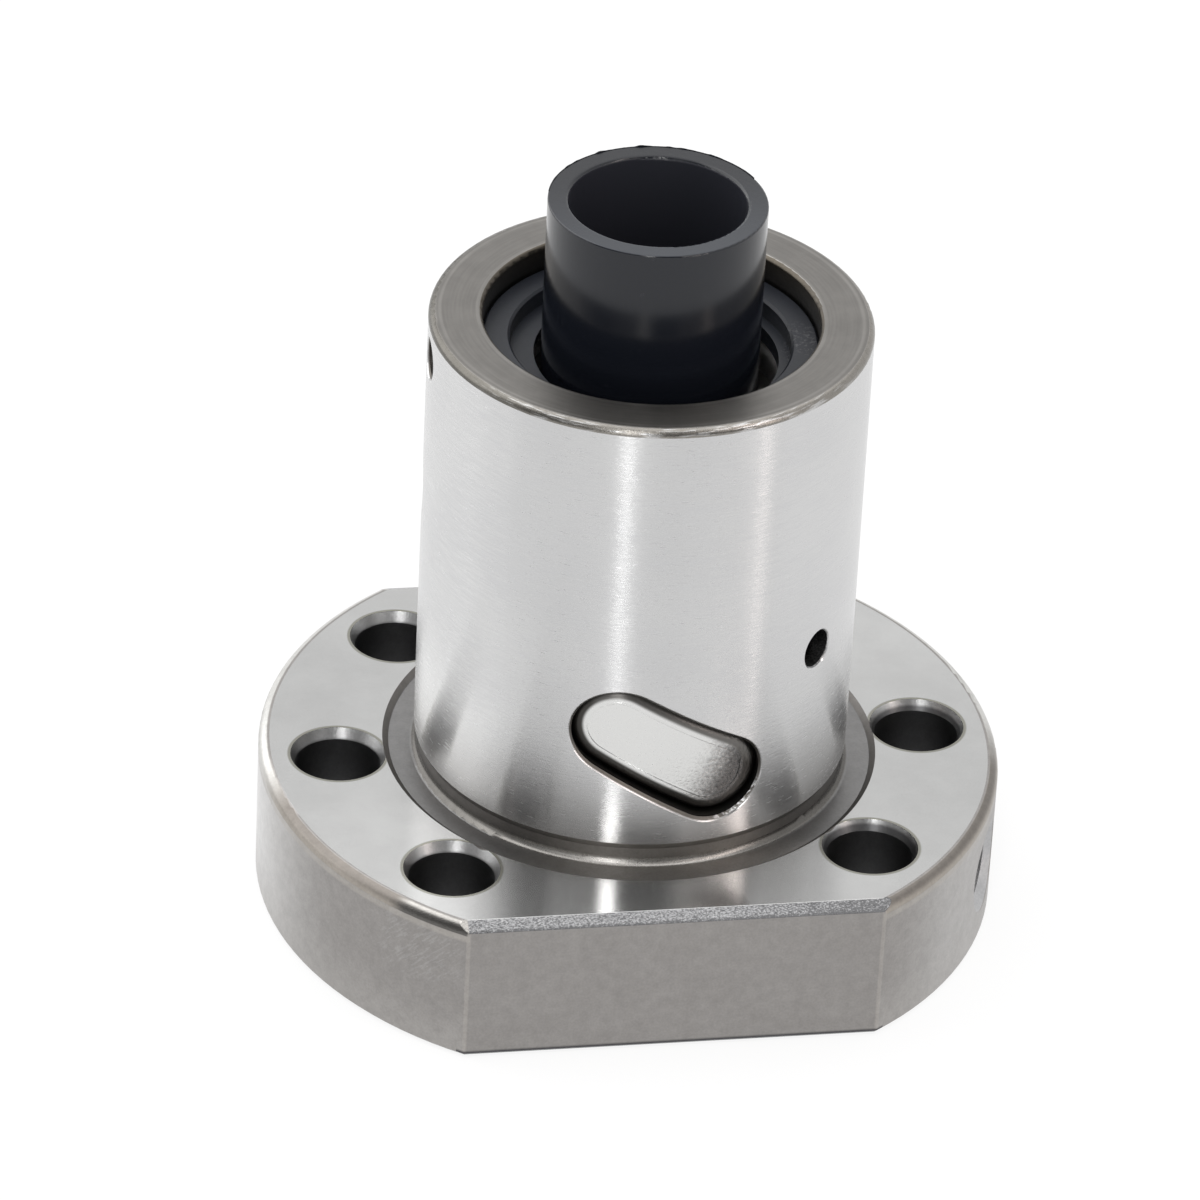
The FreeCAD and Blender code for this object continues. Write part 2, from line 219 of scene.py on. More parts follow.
# %% New material, and places on a piece
def new_material(name):
    """An empty node material, its output, and the place on the piece in mm."""
    material = bpy.data.materials.new(name)
    material.use_nodes = True
    tree = material.node_tree
    tree.nodes.clear()
    output = tree.nodes.new("ShaderNodeOutputMaterial")
    start = Wire(tree)
    place = start.node("ShaderNodeTexCoord", None, None, "Object").scaled(1 / MM, 1 / MM, 1 / MM)
    return material, output, place


def finish_surface(output, shader):
    shader.tree.links.new(shader.socket, output.inputs["Surface"])


def axes(place):
    """Distances along X, Y, Z and from the screw axis, in mm."""
    x, y, z = [place.node("ShaderNodeSeparateXYZ", None, {0: place}, axis) for axis in range(3)]
    return SimpleNamespace(x=x, y=y, z=z, r=(x * x + y * y).root())


finishes = {}

# %% [markdown]
# ## Hardened and ground steel
#
# The nut is turned, hardened, and then ground only where it seats in its housing: the cylinder
# and the flange's face are bright, and the rim, the flats, the end face and the relief keep the
# brown-grey skin of the furnace. Each finish could be a material of its own, but the body is one
# mesh. So masks made from the place on the part say which finish lies where. The object `on`
# collects them, each from 0 to 1.

# %% Marks for the ground surfaces
SOFT = 0.02
RELIEF_R = 16.0
RELIEF_TOP = 11.4
BODY_EDGE = 0.5
RIM_EDGE = 0.7
GROUND_SKIN = 0.09


def mark_ground(on):
    """The cylinder above the relief, and the flange's upper face."""
    outside = on.r.rises(BODY_R - GROUND_SKIN, BODY_R - GROUND_SKIN / 2)
    on.ground = outside * on.z.within(RELIEF_TOP, NUT_TOP - BODY_EDGE, SOFT)
    level = on.z.rises(FLANGE_T - SOFT, FLANGE_T - SOFT / 2)
    on.face = level * on.r.within(RELIEF_R, FLANGE_R - RIM_EDGE, SOFT)


print("ground from", RELIEF_TOP, "to", round(NUT_TOP - BODY_EDGE, 2))

# %% [markdown]
# ### The ground cylinder
#
# A grinding wheel leaves lines that run round the cylinder, thousands of them, each a little
# duller or brighter than the next. They could be drawn as grooves, but they are finer than a
# pixel. So the shader stretches reflections across the lines, and noise squeezed along Z varies
# tone and roughness line by line, with short scratches on top. A bump of fine lines and of wide,
# shallow waves makes the edges of a reflected lamp waver.

# %% Ground cylinder
GROUND = (0.63, 0.63, 0.63, 1)
GROUND_DULL = (0.59, 0.59, 0.595, 1)
# Painted shade: towards the relief the cylinder is painted darker, where it mirrors the flange.
GROUND_LOW_SHADE = (0.43, 0.425, 0.42, 1)
GROUND_LOW_SHADE_Z = (RELIEF_TOP, RELIEF_TOP + 7)
SCRATCH = (0.8, 0.8, 0.8, 1)
SCRATCH_SHARE = 0.25
SCRATCH_GRAIN = (1.2, 1.2, 11.0)
SCRATCH_CUT = (0.67, 0.74)
LINE_GRAIN = (0.6, 0.6, 8.0)
LINE_TONE = 0.6
LINE_ROUGHNESS = 0.24
LINE_SWING = 0.09
CLOUD_GRAIN = 0.15
CRISP = (0.35, 0.65)
WAVER_GRAIN = (1.8, 1.8, 8.0)
WAVER_GROWS_Z = (RELIEF_TOP + 1, RELIEF_TOP + 9)
WAVER_LEAST = 0.4
WAVE_GRAIN = 0.9
WAVE_SHARE = 0.7
GROUND_DEPTH = 0.02
GROUND_BUMP = 0.5
ROUND_THE_AXIS = 0.25


def ground_cylinder(place, on):
    lines = place.scaled(*LINE_GRAIN).noise(1.0, detail=3.0)
    scratches = place.scaled(*SCRATCH_GRAIN).noise(1.0, detail=1.0).rises(*SCRATCH_CUT)
    cloud = place.noise(CLOUD_GRAIN)
    tone = (LINE_TONE * lines + (1 - LINE_TONE) * cloud).rises(*CRISP).blend(GROUND_DULL, GROUND)
    # painted shade towards the relief
    tone = on.z.falls(*GROUND_LOW_SHADE_Z).blend(tone, GROUND_LOW_SHADE)
    grows = WAVER_LEAST + (1 - WAVER_LEAST) * on.z.rises(*WAVER_GROWS_Z)
    height = place.scaled(*WAVER_GRAIN).noise(1.0) * grows + WAVE_SHARE * place.noise(WAVE_GRAIN)
    return place.node("ShaderNodeBsdfPrincipled", None, {
        "Base Color": (SCRATCH_SHARE * scratches).blend(tone, SCRATCH),
        "Metallic": 1.0,
        "Roughness": LINE_ROUGHNESS - LINE_SWING / 2 + LINE_SWING * (lines + scratches),
        "Anisotropic": 1.0,
        "Anisotropic Rotation": ROUND_THE_AXIS,
        "Normal": height.bump(GROUND_DEPTH, GROUND_BUMP),
    })


print("ground cylinder", GROUND[:3], "roughness", LINE_ROUGHNESS)

# %% [markdown]
# ### The ground face of the flange
#
# The face that seats against the housing was ground too, by a wheel that went round the body,
# so its reflections are stretched as well. It is a little darker than the cylinder, with soft
# clouds and a fine grain. Each bolt hole has a thin tan ring where its edge was broken. The ring
# could be a piece, but it has no height. So one mask folds the eight compass points into one,
# leaves out the two at the flats, which have no hole, and draws every ring at once.

# %% Ground face
FACE = (0.545, 0.545, 0.54, 1)
FACE_DULL = (0.50, 0.50, 0.495, 1)
FACE_ROUGHNESS = 0.18
FACE_SWING = 0.06
FACE_STRETCH = 0.95
FACE_CLOUD = 0.25
FACE_CLOUD_TONE = 0.75
FACE_GRAIN = 8.0
EVEN = (0.3, 0.7)
LIP_TAN = (0.22, 0.215, 0.175, 1)
LIP_SHARE = 0.8
LIP_RING = (3.0, 3.26, 0.07)
LIP_CLEAR_OF_FLATS = (7, 8)
BOLT_CIRCLE_R = mounts["flange_bolts_side"]["dims"]["spacing_x_mm"] / 2
HOLE_STEP = math.radians(45)


def hole_lips(place, on):
    """Thin ring round each bolt hole, where its edge was broken."""
    angle = place.math("ARCTAN2", on.y, on.x)
    local = angle - HOLE_STEP * place.math("ROUND", angle / HOLE_STEP)
    out = on.r * place.math("COSINE", local) - BOLT_CIRCLE_R
    aside = on.r * place.math("SINE", local)
    ring = (out * out + aside * aside).root().within(*LIP_RING)
    return ring * abs(on.x).rises(*LIP_CLEAR_OF_FLATS)


def ground_face(place, on):
    cloud = place.noise(FACE_CLOUD, detail=4.0, roughness=0.6)
    grain = place.noise(FACE_GRAIN)
    tone = FACE_CLOUD_TONE * cloud + (1 - FACE_CLOUD_TONE) * grain
    tone = tone.rises(*EVEN).blend(FACE_DULL, FACE)
    return place.node("ShaderNodeBsdfPrincipled", None, {
        "Base Color": (LIP_SHARE * hole_lips(place, on)).blend(tone, LIP_TAN),
        "Metallic": 1.0,
        "Roughness": FACE_ROUGHNESS - FACE_SWING / 2 + FACE_SWING * grain,
        "Anisotropic": FACE_STRETCH,
        "Anisotropic Rotation": ROUND_THE_AXIS,
    })


print("ground face", FACE[:3], "holes on a circle of", 2 * BOLT_CIRCLE_R)

# %% [markdown]
# ## The furnace skin
#
# What the wheel didn't touch is brown-grey and satin, with a fine grain. Its edges tell how each
# was made, and they come one by one in the cells below. Each cell marks its places and returns
# layers, which are pairs of a mask and a colour. In the end one shader lays them over each
# other, because only colour, roughness and grain change from place to place.

# %% [markdown]
# ### The rim
#
# The flange's rim was turned before hardening. It is painted paler at its sides, a painted
# reflection of the tent, and painted lighter towards the floor, and a painted highlight line
# runs under its rounded edge. Beside the front flat a clamp left short slanted strokes. A
# picture could be wrapped round the rim, but soft masks do the same with a few numbers, and the
# strokes are noise whose coordinates are turned by 45 degrees and stretched.

# %% Clamp marks on the rim
FEATHER_SIDE = Vector((0.743, -0.669, 0))
FEATHER_REACH = (1.5, 4.5)
FEATHER_X = (-14, -12)
FEATHER_Y = (-12, -10)
FEATHER_Z = (5, 9, 1)
FEATHER_FINE = 4.2
FEATHER_LONG = 0.7
FEATHER_CUT = (0.5, 0.62)
FEATHER_SHARE = 0.16


def feather_marks(place, on):
    """Slanted strokes that a clamp left on the rim, beside the front flat."""
    along_rim = FEATHER_SIDE.x * on.x + FEATHER_SIDE.y * on.y
    slanted = {0: FEATHER_FINE * (along_rim - on.z), 1: FEATHER_LONG * (along_rim + on.z)}
    strokes = place.node("ShaderNodeCombineXYZ", None, slanted).noise(1.0).rises(*FEATHER_CUT)
    near = abs(along_rim).falls(*FEATHER_REACH) * on.x.falls(*FEATHER_X) * on.y.falls(*FEATHER_Y)
    return FEATHER_SHARE * on.rim * near * on.z.within(*FEATHER_Z) * strokes


print("clamp marks from", FEATHER_Z[0], "to", FEATHER_Z[1], "mm up the rim")

# %% Rim of the flange
MIDDLE = (-1, 1)
EDGE_BRIGHT = (0.55, 0.55, 0.55, 1)
RIM_SIDE_REFLECTION = (0.70, 0.695, 0.69, 1)
RIM_LEFT_Y = (-13, 3)
RIM_RIGHT_FROM_Y = (-20, -15)
RIM_RIGHT_TO_Y = (-13, -8)
RIM_RIGHT_SHARE = 0.3
RIM_BACK_Y = (6, 12)
RIM_LOW_LIGHT = (0.42, 0.405, 0.390, 1)
RIM_LOW_LIGHT_Z = (0.3, 4.5)
RIM_LOW_LIGHT_SHARE = 0.5
RIM_HIGHLIGHT_LINE = (0.42, 0.395, 0.365, 1)
RIM_HIGHLIGHT_LINE_Z = (8.85, 9.3, 0.12)
RIM_HIGHLIGHT_LINE_SHARE = 0.6


def rim_layers(place, on):
    on.rim = on.r.rises(FLANGE_R - 3 * SOFT, FLANGE_R - 2 * SOFT)
    left_side = on.x.falls(*MIDDLE) * on.y.rises(*RIM_LEFT_Y)
    right_side = on.x.rises(*MIDDLE) * on.y.rises(*RIM_RIGHT_FROM_Y) * on.y.falls(*RIM_RIGHT_TO_Y)
    reflecting_sides = left_side + RIM_RIGHT_SHARE * right_side
    on.feathers = feather_marks(place, on)
    return [
        # painted reflection of the tent on the rim's sides
        (on.rim * on.y.falls(*RIM_BACK_Y) * reflecting_sides, RIM_SIDE_REFLECTION),
        # painted lighter towards the floor
        (RIM_LOW_LIGHT_SHARE * on.rim * on.z.falls(*RIM_LOW_LIGHT_Z), RIM_LOW_LIGHT),
        # painted highlight line under the rounded edge
        (RIM_HIGHLIGHT_LINE_SHARE * on.rim * on.z.within(*RIM_HIGHLIGHT_LINE_Z), RIM_HIGHLIGHT_LINE),
        (on.feathers, EDGE_BRIGHT),
    ]


print("rim radius", round(FLANGE_R, 2))

# %% [markdown]
# ### The rim's rounded edge
#
# The round between rim and face catches the light along its whole length. Its colour is painted
# lighter at its foot and darker tan towards the face, a painted shading across the round, and
# paler at the back, a painted reflection. The tool scraped it on the left where it runs into the
# front flat, and the top of the scrape is painted bright as a glint. At the flats' upright
# corners a light line stands for small nicks and a painted glint. The solid already has the
# round, so only its colours are added here.

# %% Rounded edge and corners
EDGE_LIT_FOOT = (0.36, 0.330, 0.295, 1)
EDGE_TAN_SHADE = (0.19, 0.174, 0.158, 1)
EDGE_TAN_SHADE_Z = (FLANGE_T - 0.55, FLANGE_T - 0.15)
EDGE_PALE_REFLECTION = (0.60, 0.595, 0.575, 1)
EDGE_PALE_REFLECTION_Y = (-6, 1)
SCRAPE_DARK = (0.13, 0.124, 0.118, 1)
SCRAPE_GLINT = (0.40, 0.385, 0.365, 1)
SCRAPE_Y = (3 - FLAT_Y, 4 - FLAT_Y)
SCRAPE_GLINT_Z = (FLANGE_T - 0.2, FLANGE_T - 0.07)
CORNER_NICKS_AND_GLINT = (0.42, 0.395, 0.370, 1)
CORNER_R = (FLANGE_R - 0.12, FLANGE_R - 0.06)
CORNER_Y = (FLAT_Y - 0.1, FLAT_Y - 0.04)
CORNER_SHARE = 0.45


def edge_layers(on):
    outside = on.r.rises(FLANGE_R - RIM_EDGE, FLANGE_R - RIM_EDGE + SOFT)
    height = on.z.within(FLANGE_T - RIM_EDGE, FLANGE_T - SOFT, SOFT / 2)
    edge = outside * height * abs(on.y).falls(FLAT_Y - 2 * SOFT, FLAT_Y - SOFT)
    on.scrape = edge * on.x.falls(*MIDDLE) * on.y.falls(*SCRAPE_Y)
    return [
        # painted shading across the round: lighter at its foot, darker tan towards the face, and paler at
        # the back as a painted reflection
        (edge, EDGE_LIT_FOOT),
        (edge * on.z.rises(*EDGE_TAN_SHADE_Z), EDGE_TAN_SHADE),
        (edge * on.y.rises(*EDGE_PALE_REFLECTION_Y), EDGE_PALE_REFLECTION),
        # the scrape is dark, with a painted glint along its top
        (on.scrape, on.z.rises(*SCRAPE_GLINT_Z).blend(SCRAPE_DARK, SCRAPE_GLINT)),
        # small nicks up each corner, painted bright as a glint too
        (CORNER_SHARE * on.r.rises(*CORNER_R) * abs(on.y).rises(*CORNER_Y), CORNER_NICKS_AND_GLINT),
    ]


print("rounded edge", RIM_EDGE, "mm")

# %% [markdown]
# ### The flats
#
# The two flats were milled, and the sloped break along their upper edge was milled last, so it
# sparkles: bright and dark streaks a tenth of a millimetre wide. Painted shade darkens the break
# towards the right and along its foot, and a painted glint marks its left end. The break is a
# plane, so one sum of Z and Y finds it. Along the floor each flat has a painted shadow: a dark
# line on the small edge that rests on the ground.

# %% Flats and their breaks
MILLED_DARK = (0.12, 0.12, 0.123, 1)
MILLED_BRIGHT = (0.37, 0.37, 0.376, 1)
MILLED_GRAIN = (7.0, 11.0, 11.0)
MILLED_RIGHT_X = (2, 14)
MILLED_RIGHT_SHADE = 0.1
MILLED_FOOT_SHADE = 0.15
FLAT_EDGE = 0.47
FLAT_EDGE_IN = 0.85
FLAT_EDGE_FOOT_Z = (FLANGE_T - FLAT_EDGE + 0.02, FLANGE_T - FLAT_EDGE + 0.12)
FLAT_EDGE_GLINT_X = (-13.28, -13.16)
BASE_SHADOW = (0.05, 0.05, 0.055, 1)
BASE_EDGE = 0.3
BASE_LINE_Z = (BASE_EDGE, 0.55)


def milled_streaks(place, on):
    """Colour of a milled surface, with painted shade at the right and at the foot of the break."""
    streaks = place.scaled(*MILLED_GRAIN).noise(1.0, detail=3.0, roughness=0.6)
    streaks = streaks - MILLED_RIGHT_SHADE * on.x.rises(*MILLED_RIGHT_X)
    streaks = streaks - MILLED_FOOT_SHADE * on.z.falls(*FLAT_EDGE_FOOT_Z)
    return streaks.rises(*CRISP).blend(MILLED_DARK, MILLED_BRIGHT)


def flat_layers(place, on):
    slope = FLAT_EDGE / FLAT_EDGE_IN
    plane = FLANGE_T - FLAT_EDGE + slope * FLAT_Y
    above_plane = (on.z + slope * abs(on.y)).rises(plane - 2 * SOFT, plane - SOFT)
    on.flat_edge = above_plane * on.z.falls(FLANGE_T, FLANGE_T + SOFT)
    on.milled = milled_streaks(place, on)
    at_flat = abs(on.y).rises(FLAT_Y - BASE_EDGE - SOFT, FLAT_Y - BASE_EDGE)
    return [
        (on.flat_edge, on.milled),
        # painted glint at the left end of the break
        (on.flat_edge * on.x.falls(*FLAT_EDGE_GLINT_X), SCRAPE_GLINT),
        # painted shadow along the floor
        (on.z.falls(*BASE_LINE_Z) * at_flat, BASE_SHADOW),
    ]


print("break of the flats", FLAT_EDGE, "high and", FLAT_EDGE_IN, "deep")

# %% [markdown]
# ### Bolt holes and oil port
#
# The bolt holes are dark inside, with a bright torn edge that is narrower towards the right,
# most of all on the front right. The inside of the oil port is painted light grey, a painted
# light where light from outside falls into it. A cylinder mask for each hole would work, but apart
# from the port the holes are the only surfaces of the flange in that ring below the face, so a
# ring is enough.

# %% Holes in the flange
HOLE_RING = (RELIEF_R, 22.2, SOFT)
HOLES_Y = 17.0
HOLE_DARK = (0.155, 0.155, 0.158, 1)
HOLE_BRIGHT = (0.48, 0.48, 0.48, 1)
HOLE_EDGE = 0.7
HOLE_EDGE_Z = (FLANGE_T - HOLE_EDGE - 0.1, FLANGE_T - HOLE_EDGE + 0.15)
UNEVEN = 0.3
UNEVEN_X = (-6, 2)
UNEVEN_FRONT_Y = (-10, -6)
UNEVEN_FRONT_SHARE = 0.4
PORT_AXIS = Vector(mounts["oil_port"]["axis"])
PORT_R = 3.25
# painted light inside the oil port
PORT_PAINTED_LIGHT = (0.45, 0.45, 0.455, 1)


def mark_port(on):
    aside = abs(PORT_AXIS.x * on.y - PORT_AXIS.y * on.x).falls(PORT_R, PORT_R + SOFT)
    upright = abs(on.z - FLANGE_T / 2).falls(PORT_R, PORT_R + SOFT)
    in_flange = on.x.rises(0, SOFT) * on.r.rises(RELIEF_R, RELIEF_R + SOFT) * (1 - on.rim)
    on.port = aside * upright * in_flange


def hole_layers(on):
    holes = on.r.within(*HOLE_RING) * abs(on.y).falls(HOLES_Y, HOLES_Y + SOFT) * (1 - on.port)
    front = 1 + UNEVEN_FRONT_SHARE * on.y.falls(*UNEVEN_FRONT_Y)
    uneven = on.z - UNEVEN * on.x.rises(*UNEVEN_X) * front
    on.hole_edge = holes * uneven.rises(*HOLE_EDGE_Z)
    return [
        (holes * on.z.within(HOLE_EDGE, FLANGE_T - SOFT, SOFT / 2), HOLE_DARK),
        (on.hole_edge, HOLE_BRIGHT),
    ]


print("oil port along", [round(c, 3) for c in PORT_AXIS])

# %% [markdown]
# ### The grinding relief
#
# Where the cylinder meets the flange, a groove lets the wheel run out. Its floor is grey, its wall
# brown, and the small round between them carries a long glint at the front. The glint could be
# left to the lamps alone, but here it is painted: the round carries a painted glint at the front
# and painted shade to the left and right, and the whole groove is painted lighter at the front.

# %% Relief
RELIEF_FLOOR = 9.7
RELIEF_FILLET = 0.5
RELIEF_ROUND_R = (RELIEF_R - 1, RELIEF_R - 1 + SOFT)
RELIEF_SKIN = (0.19, 0.180, 0.170, 1)
RELIEF_GREY = (0.205, 0.202, 0.200, 1)
RELIEF_ROUND_SHADE = (0.11, 0.105, 0.098, 1)
RELIEF_FRONT_GLINT_Y = (-13.5, -11)
RELIEF_FRONT_GLINT_SHARE = 0.6
GLINT = (0.33, 0.317, 0.300, 1)
GLINT_LEFT_X = (-14.0, -5.0)
GLINT_RIGHT_X = (1.0, 8.0)
POCKET_SKIN = 0.35


def relief_layers(on):
    relief = on.r.within(BODY_R - POCKET_SKIN, RELIEF_R, SOFT) * on.z.within(
        RELIEF_FLOOR - SOFT, RELIEF_TOP, SOFT)
    round_z = on.z.within(RELIEF_FLOOR + SOFT, RELIEF_FLOOR + RELIEF_FILLET, SOFT)
    on.relief_round = relief * round_z * on.r.falls(*RELIEF_ROUND_R)
    return [
        (relief, RELIEF_SKIN),
        (relief * on.z.falls(RELIEF_FLOOR + SOFT, RELIEF_FLOOR + 2 * SOFT), RELIEF_GREY),
        # painted glint over the groove at the front
        (RELIEF_FRONT_GLINT_SHARE * relief * on.y.falls(*RELIEF_FRONT_GLINT_Y), GLINT),
        # painted shade on the round, left and right of its glint
        (on.relief_round, RELIEF_ROUND_SHADE),
        # painted glint on the round at the front
        (on.relief_round * on.x.rises(*GLINT_LEFT_X) * on.x.falls(*GLINT_RIGHT_X), GLINT),
    ]


print("relief from", RELIEF_FLOOR, "to", RELIEF_TOP)

# %% [markdown]
# ### The plain end
#
# The end face was turned and never ground. It is the brownest surface, with painted highlight
# rings near its outer edge and round its mouth. Its rounded edge is painted darker on the left,
# a painted shade, and its front has small bright nicks from being put down, which also stand for
# a painted glint there. The wiper's seat behind it is painted nearly black, a painted shade that
# turns brown towards the top. The nicks are turned lines cut off high, so that only the
# brightest parts of the noise are left.


# %% Lines that a lathe leaves
def turned_lines(place, on, along, across):
    """Noise drawn out round the axis: along and across are features per radian and per mm."""
    round_the_axis = {0: along * on.x / on.r, 1: along * on.y / on.r, 2: across * (on.r - on.z)}
    return place.node("ShaderNodeCombineXYZ", None, round_the_axis).noise(1.0)


print("turned lines run round the axis")

# %% End face and wiper seat
END_SKIN = (0.195, 0.187, 0.176, 1)
END_HIGHLIGHT_RING = (BODY_R - BODY_EDGE - 0.3, BODY_R - BODY_EDGE - 0.1, 0.08)
END_HIGHLIGHT_RING_SHARE = 0.4
END_MOUTH_HIGHLIGHT_R = (SEAT_R + 0.45, SEAT_R + 0.5)
END_MOUTH_HIGHLIGHT_SHARE = 0.25
EDGE_BROWN = (0.25, 0.236, 0.216, 1)
EDGE_LEFT_SHADE = (0.135, 0.128, 0.115, 1)
EDGE_LEFT_SHADE_X = (-12, -5)
NICKS_AND_GLINT_Y = (-12, -6)
NICKS_AND_GLINT_SHARE = 0.8
NICK_LINES = (9.0, 5.0)
NICK_CUT = (0.48, 0.66)
SEAT_SHADE = (0.060, 0.056, 0.052, 1)
SEAT_BROWN = (0.10, 0.088, 0.072, 1)
SEAT_SHADE_Z = (NUT_TOP - 1.3, NUT_TOP - 0.2)


def mark_between_seats(on):
    """The stretch of the bore from one wiper's seat to the other's."""
    seat_from_middle = UPPER_SEAT - NUT_TOP / 2
    on.between_seats = abs(on.z - NUT_TOP / 2).falls(seat_from_middle - SOFT, seat_from_middle)


def end_layers(place, on):
    on.end = on.z.rises(NUT_TOP - SOFT, NUT_TOP - SOFT / 2)
    edge_r = on.r.rises(BODY_R - BODY_EDGE - SOFT, BODY_R - BODY_EDGE)
    on.end_edge = edge_r * on.z.within(NUT_TOP - BODY_EDGE, NUT_TOP - SOFT, SOFT / 2)
    nicked = turned_lines(place, on, *NICK_LINES).rises(*NICK_CUT)
    # nicks along the front of the edge, painted bright as a glint too
    on.nicks = NICKS_AND_GLINT_SHARE * on.end_edge * on.y.falls(*NICKS_AND_GLINT_Y) * nicked
    seat_r = on.r.falls(SEAT_R + POCKET_SKIN, SEAT_R + POCKET_SKIN + SOFT)
    return [
        (on.end, END_SKIN),
        # painted highlight rings near the outer edge and round the mouth
        (END_HIGHLIGHT_RING_SHARE * on.end * on.r.within(*END_HIGHLIGHT_RING), GLINT),
        (END_MOUTH_HIGHLIGHT_SHARE * on.end * on.r.falls(*END_MOUTH_HIGHLIGHT_R), GLINT),
        (on.end_edge, EDGE_BROWN),
        # painted shade on the left of the rounded edge
        (on.end_edge * on.x.falls(*EDGE_LEFT_SHADE_X), EDGE_LEFT_SHADE),
        # painted shade in the wiper's seat, darkest low down and brown near the top
        (seat_r * (1 - on.between_seats) * (1 - on.end),
         on.z.rises(*SEAT_SHADE_Z).blend(SEAT_SHADE, SEAT_BROWN)),
    ]


print("end face at", round(NUT_TOP, 2), "seat radius", round(SEAT_R, 2))

# %% [markdown]
# ### Bore and pockets
#
# The ball track in the bore is bright. The pockets that hold the return inserts are painted
# black inside and greyer near their mouth, a painted shade that is deepest in the gap, and they
# are brown on their broken edge, which is torn at one end of each pocket and painted bright
# there as a glint. To find that end, the place is folded: an angle rounded to the nearest
# insert gives one small map, sideways and upwards, that serves all three.

# %% Bore and pockets
TRACK_R = 10.3
TRACK_STEEL = (0.50, 0.49, 0.48, 1)
POCKET_SHADE = (0.050, 0.047, 0.043, 1)
POCKET_MOUTH_LIGHT = (0.21, 0.204, 0.195, 1)
POCKET_MOUTH_LIGHT_R = (BODY_R - POCKET_SKIN - 1.0, BODY_R - POCKET_SKIN)
POCKET_BROWN = (0.11, 0.103, 0.094, 1)
FIRST_INSERT_ANGLE = math.radians(-90)
FIRST_INSERT_Z = 17.78
INSERT_STEP_ANGLE = math.radians(120)
INSERT_STEP_Z = 20 / 3
TORN_SIDE = (2.5, 4.0)
TORN_UP = (-3.3, -2.3)
TORN_GRAIN = 4.0
TORN_CUT = (0.45, 0.6)


def insert_axes(place):
    """Sideways and upwards from the middle of the nearest insert, in mm."""
    at = axes(place)
    angle = place.math("ARCTAN2", at.y, at.x) - FIRST_INSERT_ANGLE
    turn = place.math("ROUND", angle / INSERT_STEP_ANGLE)
    sideways = at.r * place.math("SINE", angle - turn * INSERT_STEP_ANGLE)
    return sideways, at.z - FIRST_INSERT_Z - turn * INSERT_STEP_Z


def pocket_layers(place, on):
    pocket = on.r.within(TRACK_R, BODY_R - POCKET_SKIN, SOFT) * on.between_seats
    edge_r = on.r.within(BODY_R - POCKET_SKIN, BODY_R - GROUND_SKIN, SOFT)
    edge = edge_r * on.z.within(RELIEF_TOP + BODY_EDGE, NUT_TOP - 2 * BODY_EDGE, SOFT)
    sideways, up = insert_axes(place)
    tearing = place.noise(TORN_GRAIN).rises(*TORN_CUT)
    # torn end of each pocket's edge, painted bright as a glint too
    on.torn = edge * sideways.rises(*TORN_SIDE) * up.falls(*TORN_UP) * tearing
    return [
        (on.r.falls(TRACK_R, TRACK_R + SOFT) * on.between_seats, TRACK_STEEL),
        # painted shade inside the pockets, lighter towards their mouth
        (pocket, POCKET_SHADE),
        (pocket * on.r.rises(*POCKET_MOUTH_LIGHT_R), POCKET_MOUTH_LIGHT),
        (edge, POCKET_BROWN),
    ]


print("inserts every", round(math.degrees(INSERT_STEP_ANGLE)), "degrees and", round(INSERT_STEP_Z, 2), "mm")

# %% [markdown]
# ### The cross hole
#
# At the right a small hole is drilled through the wall to the ball track. Its mouth shows
# streaks, and inside it the pockets' painted shade makes it black. Its wall could have a
# material of its own, but it belongs to the body's mesh. So the distance from the drill's axis
# marks it, and the streaks of the milled break are used again.

# %% Cross hole
CROSS_ANGLE = math.radians(-45)
CROSS_Z = 22.9
CROSS_R = 1.42
CROSS_DEEP_R = (10.5, 12.5)


def cross_hole(on):
    """Wall of the small hole at the right, which fades inwards into the pockets' painted shade."""
    aside = math.cos(CROSS_ANGLE) * on.y - math.sin(CROSS_ANGLE) * on.x
    away = (aside * aside + (on.z - CROSS_Z) * (on.z - CROSS_Z)).root()
    return away.falls(CROSS_R, CROSS_R + SOFT) * on.x.rises(0, SOFT) * on.r.rises(*CROSS_DEEP_R)


print("cross hole at", CROSS_Z)

# %% [markdown]
# ### One shader for the skin
#
# All the layers are laid over the plain skin in order, then a mottle darkens and lightens the
# whole, so that no patch looks painted on. On the end face the mottle follows the turned lines.
# Bump gives the grain, and more of it where an edge is milled, torn or scraped.

# %% Layers and mottle of the skin
MOTTLE_GRAIN = 1.3
HANDLED_GRAIN = 0.6
HANDLED_LINES = (3.0, 6.0)
GENTLE = (0.25, 0.75)
SHADE_LOW = (0.86, 0.86, 0.86, 1)
SHADE_HIGH = (1.10, 1.10, 1.10, 1)


def skin_layers(place, on):
    """Masks and colours of the whole skin, from the lowest layer to the highest."""
    layers = rim_layers(place, on) + edge_layers(on) + flat_layers(place, on)
    mark_port(on)
    mark_between_seats(on)
    # the oil port's colour is a painted light
    layers += [(on.port, PORT_PAINTED_LIGHT)] + relief_layers(on) + hole_layers(on)
    layers += end_layers(place, on) + pocket_layers(place, on)
    # nicks and torn edges, painted bright as glints too
    return layers + [(on.nicks + on.torn, EDGE_BRIGHT), (cross_hole(on), on.milled)]


def skin_mottle(place, on, grain):
    """A grey that darkens or lightens the skin, and follows the turned lines on the end face."""
    mottle = (grain + place.noise(MOTTLE_GRAIN, detail=3.0, roughness=0.6)) / 2
    mottle = mottle.rises(*GENTLE)
    blotches = place.noise(HANDLED_GRAIN, detail=3.0, roughness=0.6)
    handled = (turned_lines(place, on, *HANDLED_LINES) + blotches) / 2
    mottle = mottle + on.end * (handled.rises(*GENTLE) - mottle)
    return mottle.blend(SHADE_LOW, SHADE_HIGH)


